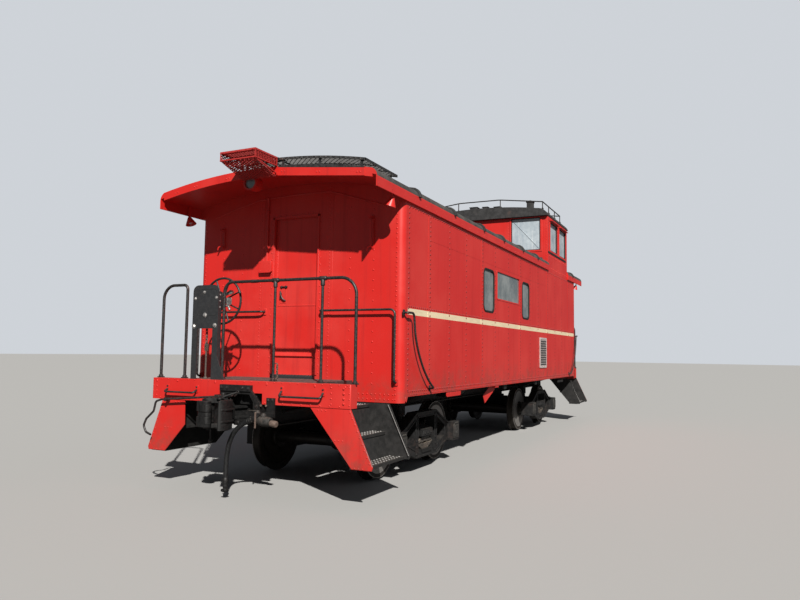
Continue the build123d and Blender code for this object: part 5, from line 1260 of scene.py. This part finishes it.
# ------------------------------------------------------------------ trucks
FRAME_TOP = [(0, 0.792), (0.330, 0.792), (0.640, 0.640), (0.790, 0.585), (1.005, 0.585), (1.005, 0.325), (0.775, 0.325),
             (0.690, 0.330), (0.330, 0.205), (0, 0.205)]


def leaf_pack(shape, cx, cy):
    """Two full elliptic springs side by side: leaves of falling length, bowed apart, with bands."""
    for y0 in (cy - 0.047, cy + 0.003):
        for way in (1, -1):
            for i in range(6):
                half = 0.243 - 0.031 * i
                rise = 0.086 - 0.0
                pts_ = []
                for k in range(13):
                    t = -1 + 2 * k / 12
                    x = half * t
                    bow = rise * (1 - (x / 0.245) ** 2) - 0.0105 * (5 - i) * 0.0 - 0.0125 * i
                    pts_.append((cx + x, 0.380 + way * (bow - 0.004)))
                ring = []
                for x, z in pts_:
                    a, b = (z - 0.0052, z + 0.0052)
                    ring.append([(x, y0, a), (x, y0 + 0.044, a), (x, y0 + 0.044, b), (x, y0, b)])
                shape.loft(ring)
        for zb, h in ((0.4265, 0.062), (0.3335, 0.062)):
            shape.box((cx - 0.030, y0 - 0.002, zb - h / 2), (cx + 0.030, y0 + 0.046, zb + h / 2))
        for sx in (-1, 1):
            shape.turned((cx + sx * 0.238, y0 - 0.001, 0.380), (0, 1, 0), [(0.0, 0.0), (0.0, 0.011), (0.046, 0.011), (0.046, 0.0)], 10)


for end, s in (("b", -1), ("a", 1)):
    tx = s * TRUCK_X
    leafs, fit, lids = Shape(), Shape(), Shape()
    for cy in (-0.990, 0.990):
        leaf_pack(leafs, tx, cy)
    for side in (-1, 1):
        yo = side * 1.055
        n = (0, side, 0)

        def slab(shape, outline, y0, y1):
            a, b = sorted((side * y0, side * y1))
            shape.prism(outline, a, b, 1)

        # raised border along the frame's top and bottom chords
        for x0, z0, x1, z1 in ((0.0, 0.780, 0.325, 0.780), (0.325, 0.780, 0.636, 0.628), (0.636, 0.628, 0.790, 0.574),
                               (0.0, 0.217, 0.333, 0.217), (0.333, 0.217, 0.692, 0.342), (0.692, 0.342, 0.780, 0.337)):
            for m_ in (-1, 1):
                fit.beam((tx + m_ * x0, yo + side * 0.006, z0), (tx + m_ * x1, yo + side * 0.006, z1), 0.014, 0.024, (0, 0, 1))
        # window edges
        for x0, z0, x1, z1 in ((0.272, 0.262, 0.272, 0.720), (0.0, 0.727, 0.272, 0.727), (0.345, 0.300, 0.640, 0.410), (0.640, 0.410, 0.640, 0.560),
                               (0.640, 0.560, 0.345, 0.700), (0.345, 0.700, 0.345, 0.300)):
            for m_ in (-1, 1):
                fit.beam((tx + m_ * x0, yo + side * 0.004, z0), (tx + m_ * x1, yo + side * 0.004, z1), 0.010, 0.014, (0, 0, 1) if abs(x1 - x0) > 0.01 else (1, 0, 0))
        fit.bolts([(tx + m_ * x, yo + side * 0.0005, z) for m_ in (-1, 1) for x, z in ((0.300, 0.748), (0.308, 0.250), (0.308, 0.68), (0.308, 0.60), (0.308, 0.42), (0.308, 0.34))], n, 0.013, 0.011)
        # spring seats and caps
        for z in (0.291, 0.452):
            slab(fit, rounded(tx - 0.150, tx + 0.150, z, z + 0.014, 0.005), 0.936, 1.070)
        slab(fit, [(tx - 0.140, 0.540), (tx + 0.140, 0.540), (tx + 0.165, 0.474), (tx - 0.165, 0.474)], 1.070, 1.084)
        fit.bolts([(tx + t, side * 1.084, 0.506) for t in (-0.10, 0.0, 0.10)], n, 0.013, 0.011)
        # journal boxes: lid, hinge, ribs
        for m_ in (-1, 1):
            jx = tx + m_ * HB
            lid = [(jx - 0.098, 0.352), (jx + 0.098, 0.352), (jx + 0.100, 0.530), (jx + 0.080, 0.556), (jx - 0.080, 0.556), (jx - 0.100, 0.530)]
            slab(lids, lid, 1.134, 1.149)
            inner = [(jx + (a - jx) * 0.78, 0.452 + (b - 0.452) * 0.78) for a, b in lid]
            slab(lids, inner, 1.148, 1.157)
            lids.tube([(jx - 0.062, side * 1.148, 0.564), (jx + 0.062, side * 1.148, 0.564)], 0.0115, 10)
            for t in (-0.05, 0.0, 0.05):
                slab(lids, [(jx + t - 0.010, 0.552), (jx + t + 0.010, 0.552), (jx + t + 0.010, 0.578), (jx + t - 0.010, 0.578)], 1.130, 1.158)
            lids.turned((jx, side * 1.156, 0.430), n, [(0.0, 0.030), (0.006, 0.030), (0.010, 0.022), (0.010, 0.0)], 16)
            for zz in (0.331, 0.579):
                slab(fit, [(jx - 0.116, zz - 0.010), (jx + 0.116, zz - 0.010), (jx + 0.116, zz + 0.010), (jx - 0.116, zz + 0.010)], 0.99, 1.139)
            fit.bolts([(jx + t, side * 1.020, 0.588) for t in (-0.075, 0.075)], (0, 0, 1), 0.016, 0.016)
            fit.bolts([(jx + t, side * 1.020, 0.322) for t in (-0.075, 0.075)], (0, 0, -1), 0.014, 0.014)
        # brake hangers and levers inside the frames
        for m_ in (-1, 1):
            bx = tx + m_ * (HB - 0.492)
            fit.tube([(bx, side * 0.812, 0.452), (bx + m_ * 0.020, side * 0.860, 0.560), (bx + m_ * 0.010, side * 0.885, 0.640), (bx, side * 0.930, 0.655)], 0.013, 10)
            fit.turned((bx, side * 0.790, 0.445), n, [(0.0, 0.0), (0.0, 0.030), (0.030, 0.030), (0.030, 0.0)], 14)
    for m_ in (-1, 1):
        bx = tx + m_ * (HB - 0.492)
        fit.prism([(bx - 0.02, 0.36), (bx + 0.02, 0.36), (bx + 0.025 - m_ * 0.06, 0.690), (bx - 0.015 - m_ * 0.06, 0.690)], -0.012, 0.012, 1)
        fit.turned((bx, -0.045, 0.445), (0, 1, 0), [(0.0, 0.0), (0.0, 0.018), (0.090, 0.018), (0.090, 0.0)], 12)
    fit.tube([(tx - (HB - 0.492) + 0.01, 0.0, 0.375), (tx + (HB - 0.492) - 0.01, 0.0, 0.375)], 0.014, 10)
    # truck centre: thin plates at the side bearings
    for side in (-1, 1):
        fit.box((tx - 0.075, min(side * 0.590, side * 0.680), 0.6995), (tx + 0.075, max(side * 0.590, side * 0.680), 0.7045))
    o = leafs.done(f"leaf_springs_{end}", M["spring"], body=f"truck_{end}", angle=40)
    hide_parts(f"truck_springs_{end}")
    fit.done(f"truck_fittings_{end}", M["gear_black"], body=f"truck_{end}", angle=35, bevel=0.0015)
    lids.done(f"journal_lids_{end}", M["gear_dusty"], body=f"truck_{end}", angle=35, bevel=0.0025, segments=2)

# axle end caps and wheel details ride the wheelsets
for end, s in (("b", -1), ("a", 1)):
    for which, d in (("outer", 1), ("inner", -1)):
        cx = s * (TRUCK_X + d * HB)
        ax = Shape()
        for side in (-1, 1):
            ax.turned((cx, side * 0.832, AXLE_Z), (0, side, 0), [(0.0, 0.118), (0.008, 0.118), (0.010, 0.105), (0.010, 0.096)], 28)
            for kk in range(12):
                t = 2 * math.pi * (kk + 0.5) / 12
                c, n_ = math.cos(t), math.sin(t)
                y0 = 0.0
                ax.domes([(cx + 0.130 * c, side * 0.8355, AXLE_Z + 0.130 * n_)], (0, side, 0), 0.006, 0.003)
        ax.done(f"wheel_bosses_{end}_{which}", M[f"wheel_{end}_{which}"], body=f"wheelset_{end}_{which}", angle=35)
        # the pale rim ring is a painted highlight
        rim = Shape()
        for side in (-1, 1):
            rim.turned((cx, side * 0.8146, AXLE_Z), (0, side, 0), [(0.0, 0.4060), (0.0014, 0.4068), (0.0016, 0.4140), (0.0004, 0.4158), (-0.0110, 0.4163), (-0.0110, 0.4060)], 96)
        rim.done(f"wheel_rims_{end}_{which}", M["rim"], body=f"wheelset_{end}_{which}", angle=50)

# ------------------------------------------------------------------ under the floor
gear, redgear = Shape(), Shape()
# reservoir straps, ends, drain; brake cylinder
for x in (0.480, 1.100):
    gear.turned((x - 0.022, 0.620, 0.960), (1, 0, 0), [(0.0, 0.2155), (0.0, 0.2215), (0.044, 0.2215), (0.044, 0.2155)], 40)
    gear.box((x - 0.022, 0.380, 0.955), (x + 0.022, 0.402, 1.16))
    gear.box((x - 0.022, 0.838, 0.955), (x + 0.022, 0.860, 1.16))
for x in (0.262, 1.312):
    gear.turned((x, 0.620, 0.960), (1, 0, 0), [(0.0, 0.2155), (0.0, 0.2190), (0.016, 0.2190), (0.016, 0.2155)], 40)
gear.turned((0.790, 0.620, 0.748), (0, 0, -1), [(0.0, 0.022), (0.018, 0.022), (0.020, 0.012), (0.040, 0.010)], 12)
for x in (-1.006, -0.604):
    gear.turned((x, -0.560, 1.010), (1, 0, 0), [(0.0, 0.150), (0.0, 0.158), (0.012, 0.158), (0.012, 0.150)], 32)
    gear.bolts([(x - 0.001 if x < -0.8 else x + 0.013, -0.560 + 0.139 * math.cos(t), 1.010 + 0.139 * math.sin(t)) for t in frange(0, 2 * math.pi, 1.05)[:-1]],
               (-1 if x < -0.8 else 1, 0, 0), 0.010, 0.008, False)
gear.tube([(-0.590, -0.560, 1.010), (-0.32, -0.560, 1.010)], 0.022, 12)
gear.prism([(-0.335, 0.985), (-0.290, 0.985), (-0.265, 1.010), (-0.290, 1.035), (-0.335, 1.035)], -0.585, -0.535, 1)
gear.prism([(-0.298, -0.60), (-0.262, -0.60), (-0.240, 0.10), (-0.275, 0.10)], 1.002, 1.018, 2)
# train line along the car, branch, rods
gear.tube([(-5.36, -0.330, 0.905), (-4.85, -0.330, 0.925), (-4.40, -0.330, 0.985), (-3.40, -0.330, 1.010) , (3.40, -0.330, 1.010), (4.40, -0.330, 0.985)], 0.021, 10)
gear.tube([(-1.20, -0.330, 1.010), (-1.20, -0.42, 1.000), (-1.19, -0.560, 1.000), (-1.02, -0.560, 1.000)], 0.014, 8)
gear.tube([(0.12, -0.330, 1.010), (0.12, 0.0, 0.90), (0.12, 0.560, 0.930), (0.26, 0.600, 0.940)], 0.014, 8)
for x in (-4.2, -2.4, -0.4, 0.7, 2.4, 4.2):
    gear.prism([(-0.352, 0.985), (-0.308, 0.985), (-0.308, 1.065), (-0.352, 1.065)], x - 0.012, x + 0.012, 0)
# small control valve and its bracket
gear.prism(rounded(-1.92, -1.70, 0.905, 1.065, 0.02), -0.86, -0.70, 1)
gear.turned((-1.81, -0.86, 0.985), (0, -1, 0), [(0.0, 0.062), (0.020, 0.062), (0.028, 0.050), (0.028, 0.0)], 20)
gear.bolts([(-1.81 + 0.048 * math.cos(t), -0.889, 0.985 + 0.048 * math.sin(t)) for t in frange(0, 2 * math.pi, 1.05)[:-1]], (0, -1, 0), 0.007, 0.006, False)
# brackets below the side sill
for x in (-0.78, 1.21):
    gear.prism([(x - 0.07, 1.075), (x + 0.12, 1.075), (x + 0.10, 1.000), (x - 0.02, 0.995)], -1.430, -1.418, 1)
gear.prism([(3.16, 1.020), (3.65, 1.020), (3.65, 0.972), (3.16, 0.972)], -1.420, -1.408, 1)
redgear.prism([(-3.405, 1.076), (-2.898, 1.076), (-2.898, 1.022), (-2.915, 1.009), (-3.388, 1.009), (-3.405, 1.022)], -1.462, -1.452, 1)
redgear.domes([(x, -1.462, 1.050) for x in frange(-3.37, -2.93, 0.11)], (0, -1, 0), 0.008, 0.004)
redgear.beam((-1.280, -1.400, 1.072), (-1.575, -1.340, 0.872), 0.010, 0.150, (0.56, 0, -0.83))
redgear.prism([(-1.36, 1.075), (-1.20, 1.075), (-1.20, 1.045), (-1.36, 1.045)], -1.46, -1.40, 1)
gear.done("air_brake_gear", M["gear_black"], angle=40)
redgear.done("sill_brackets", M["step_red"], slot="body_red", bevel=0.0015)

# feet of the curved grab irons
feet = Shape()
for x, z in ((-4.742, 2.014), (-4.000, 1.148)):
    feet.prism(rounded(x - 0.024, x + 0.024, z - 0.034, z + 0.034, 0.010), -HY - 0.009, -HY + 0.001, 1)
    feet.bolts([(x, -HY - 0.009, z + t) for t in (-0.023, 0.023)], (0, -1, 0), 0.008, 0.006, False)
v, f = np.concatenate(feet.v), list(feet.f)
for mat in (HALF_TURN, MIRROR_X, MIRROR_Y):
    m = np.array(mat)[:3, :3]
    feet.add(v @ m.T, [tuple(reversed(q)) for q in f] if np.linalg.det(m) < 0 else f)
feet.done("grab_iron_feet", M["rail_black"], angle=30)

# ------------------------------------------------------------------ train line hose
HOSE = [(-5.742, -0.197, 0.846), (-5.748, -0.128, 0.815), (-5.754, -0.063, 0.778), (-5.758, -0.006, 0.729),
        (-5.760, 0.038, 0.668), (-5.761, 0.070, 0.597), (-5.761, 0.090, 0.517), (-5.760, 0.102, 0.432),
        (-5.759, 0.108, 0.342), (-5.757, 0.111, 0.250), (-5.755, 0.112, 0.160)]
curve = bpy.data.curves.new("train_line_hose", "CURVE")
curve.dimensions = "3D"
spline = curve.splines.new("NURBS")
spline.points.add(len(HOSE) - 1)
for p, c in zip(spline.points, HOSE):
    p.co = (*c, 1)
spline.order_u = 3
spline.use_endpoint_u = True
curve.bevel_depth = 0.0255
curve.bevel_resolution = 6
curve.use_fill_caps = True
curve.resolution_u = 8
hose = bpy.data.objects.new("train_line_hose", curve)
bpy.context.scene.collection.objects.link(hose)
curve.materials.append(M["hose"])
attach(hose, "body")
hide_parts("brake_hose")
# ferrules, clamps and the coupling at its lower end
fer = Shape()


def along(i, j, t):
    p, q = Vector(HOSE[i]), Vector(HOSE[j])
    return p.lerp(q, t), (q - p).normalized()


p, d = along(0, 1, 0.0)
fer.turned(p - d * 0.004, d, [(0.0, 0.030), (0.006, 0.0315), (0.052, 0.0300), (0.056, 0.0262)], 24)
for t in (0.018, 0.040):
    fer.turned(p + d * t, d, [(0.0, 0.0305), (0.002, 0.0330), (0.009, 0.0330), (0.011, 0.0305)], 24)
p, d = along(9, 10, 1.0)
fer.turned(p - d * 0.066, d, [(0.0, 0.0262), (0.004, 0.0295), (0.060, 0.0310), (0.070, 0.0285)], 24)
fer.turned(p - d * 0.040, d, [(0.0, 0.0300), (0.002, 0.0328), (0.012, 0.0328), (0.014, 0.0300)], 24)
for base in (-0.034,):
    c = p + d * base
    fer.prism([(c.y + 0.028, c.z - 0.010), (c.y + 0.046, c.z - 0.010), (c.y + 0.046, c.z + 0.010), (c.y + 0.028, c.z + 0.010)], c.x - 0.006, c.x + 0.006, 0)
ferrules = fer.done("hose_ferrules", M["coupler"], angle=40)
head = Shape()
gp, gd = Vector(HOSE[-1]), (Vector(HOSE[-1]) - Vector(HOSE[-2])).normalized()
head.turned(gp + gd * 0.001, gd, [(0.0, 0.0), (0.0, 0.026), (0.010, 0.0285), (0.030, 0.0275), (0.046, 0.024), (0.060, 0.020), (0.060, 0.0)], 24)
cx, cy, cz = gp.x, gp.y, gp.z - 0.066
face = [(cy + 0.037 * math.cos(t) * 1.0, cz + 0.030 * math.sin(t) * 0.66 - 0.0) for t in frange(0, 2 * math.pi, 0.30)][:-1]
head.prism(face, cx - 0.029, cx + 0.020, 0)
head.turned((cx - 0.028, cy, cz), (-1, 0, 0), [(0.0, 0.0195), (0.003, 0.0195), (0.003, 0.012), (-0.004, 0.012)], 20)
head.prism([(cy - 0.036, cz + 0.010), (cy - 0.014, cz + 0.024), (cy - 0.010, cz + 0.013), (cy - 0.030, cz + 0.001)], cx - 0.030, cx + 0.016, 0)
head.prism([(cy + 0.036, cz - 0.010), (cy + 0.014, cz - 0.019), (cy + 0.010, cz - 0.013), (cy + 0.030, cz - 0.001)], cx - 0.030, cx + 0.016, 0)
glad = head.done("hose_coupling_head", M["coupler"], angle=35, bevel=0.0015)
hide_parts("glad_hand")
# angle cock: handle, nut and body ribs
cock = Shape()
w0 = (Vector(HOSE[1]) - Vector(HOSE[0])).normalized()
mouth = Vector(HOSE[0])
cock.turned(mouth - w0 * 0.014, w0, [(0.0, 0.0325), (0.001, 0.0360), (0.012, 0.0360), (0.014, 0.0325)], 6)
c = mouth - w0 * 0.080
cock.turned(c + Vector((0, 0, 0.034)), (0, 0, 1), [(0.0, 0.030), (0.016, 0.030), (0.020, 0.022), (0.034, 0.020), (0.036, 0.0)], 16)
cock.prism([(c.x - 0.012, c.y - 0.012), (c.x + 0.012, c.y - 0.012), (c.x + 0.018, c.y + 0.010), (c.x + 0.012, c.y + 0.115), (c.x - 0.012, c.y + 0.115),
            (c.x - 0.018, c.y + 0.010)], c.z + 0.058, c.z + 0.066, 2)
cock.v.append(np.zeros((0, 3)))
v, f = np.concatenate(cock.v), list(cock.f)
m = np.array(HALF_TURN)[:3, :3]
cock.add(v @ m.T, f)
cock.done("angle_cock_handles", M["gear_dusty"], angle=35, bevel=0.0012)
rough, pale = Shape(), Shape()
rough.turned((-5.742, -0.262, 0.842), (0, -1, -0.03), [(0.0, 0.0), (0.0, 0.037), (0.030, 0.039), (0.045, 0.048), (0.100, 0.052), (0.150, 0.048), (0.185, 0.040), (0.185, 0.0)], 22)
rough.turned((-5.742, -0.350, 0.874), (0, 0, 1), [(0.0, 0.0), (0.0, 0.030), (0.028, 0.030), (0.034, 0.022), (0.046, 0.018), (0.048, 0.0)], 16)
pale.turned((-5.745, -0.440, 0.822), (0.0, -1, -0.10), [(0.0, 0.0), (0.0, 0.030), (0.040, 0.036), (0.075, 0.034), (0.082, 0.026), (0.082, 0.0)], 18)
pale.prism(rounded(-0.290, -0.270, 0.765, 0.930, 0.006), -5.792, -5.784, 0)
pale.bolts([(-5.672, y, 0.992) for y in (-0.330, -0.262)], (-1, 0, 0), 0.013, 0.010, False)
for s in (rough, pale):
    v, f = np.concatenate(s.v), list(s.f)
    s.add(v @ np.array(HALF_TURN)[:3, :3].T, f)
rough.done("angle_cock_bodies", M["gear_dusty"], angle=40, bevel=0.002)
pale.done("angle_cock_ends", M["cock"], angle=40, bevel=0.002)

# ------------------------------------------------------------------ camera
CAM = (-11.466, -4.681, 1.570)
AZ, PITCH, ROLL = (math.radians(a) for a in (25.844, 4.479, 0.779))
F = Vector((math.cos(AZ) * math.cos(PITCH), math.sin(AZ) * math.cos(PITCH), math.sin(PITCH)))
right = Vector((math.sin(AZ), -math.cos(AZ), 0))
up = right.cross(F)
R = right * math.cos(ROLL) + up * math.sin(ROLL)
U = up * math.cos(ROLL) - right * math.sin(ROLL)
data = bpy.data.cameras.new("camera")
data.sensor_width, data.sensor_fit = 36.0, "HORIZONTAL"
data.lens = 36.0 * 670.0 / 800.0
data.clip_start, data.clip_end = 0.05, 500
cam = bpy.data.objects.new("camera", data)
bpy.context.scene.collection.objects.link(cam)
m3 = Matrix((R, U, -F)).transposed()
cam.matrix_world = Matrix.Translation(CAM) @ m3.to_4x4()
bpy.context.scene.camera = cam
bpy.context.scene.view_settings.view_transform = "Standard"

# ------------------------------------------------------------------ floor and light
floor_mesh = bpy.data.meshes.new("floor")
floor_mesh.from_pydata([(-150, -150, 0), (150, -150, 0), (150, 150, 0), (-150, 150, 0)], [], [(0, 1, 2, 3)])
floor = bpy.data.objects.new("floor", floor_mesh)
bpy.context.scene.collection.objects.link(floor)
fm = Nodes("studio_floor")
seen = fm.mat.node_tree.nodes.new("ShaderNodeLightPath").outputs["Is Camera Ray"]
floor_mesh.materials.append(fm.set(color=fm.mix(seen, (0.115, 0.110, 0.105), (0.40, 0.40, 0.395)), rough=0.9))

world = bpy.data.worlds.new("studio")
bpy.context.scene.world = world
world.use_nodes = True
bg = world.node_tree.nodes["Background"]
bg.inputs[0].default_value = (0.84, 0.90, 1.0, 1)
bg.inputs[1].default_value = 0.135
wt = world.node_tree                    # the backdrop itself is a plain pale grey
paper = wt.nodes.new("ShaderNodeBackground")
paper.inputs[0].default_value, paper.inputs[1].default_value = (0.62, 0.65, 0.69, 1), 1.0
path, both = wt.nodes.new("ShaderNodeLightPath"), wt.nodes.new("ShaderNodeMixShader")
wt.links.new(path.outputs["Is Camera Ray"], both.inputs[0])
wt.links.new(bg.outputs[0], both.inputs[1])
wt.links.new(paper.outputs[0], both.inputs[2])
wt.links.new(both.outputs[0], wt.nodes["World Output"].inputs[0])


def sun(name, travel, strength, angle, colour=(1, 1, 1)):
    light = bpy.data.lights.new(name, "SUN")
    light.energy, light.angle, light.color = strength, math.radians(angle), colour
    o = bpy.data.objects.new(name, light)
    bpy.context.scene.collection.objects.link(o)
    o.rotation_mode = "QUATERNION"
    o.rotation_quaternion = Vector(travel).to_track_quat("-Z", "Y")


sun("key", (0.80, 0.620, -0.75), 6.0, 0.9, (1.0, 0.965, 0.91))
sun("fill", (-0.5, 0.6, -0.35), 0.12, 60)
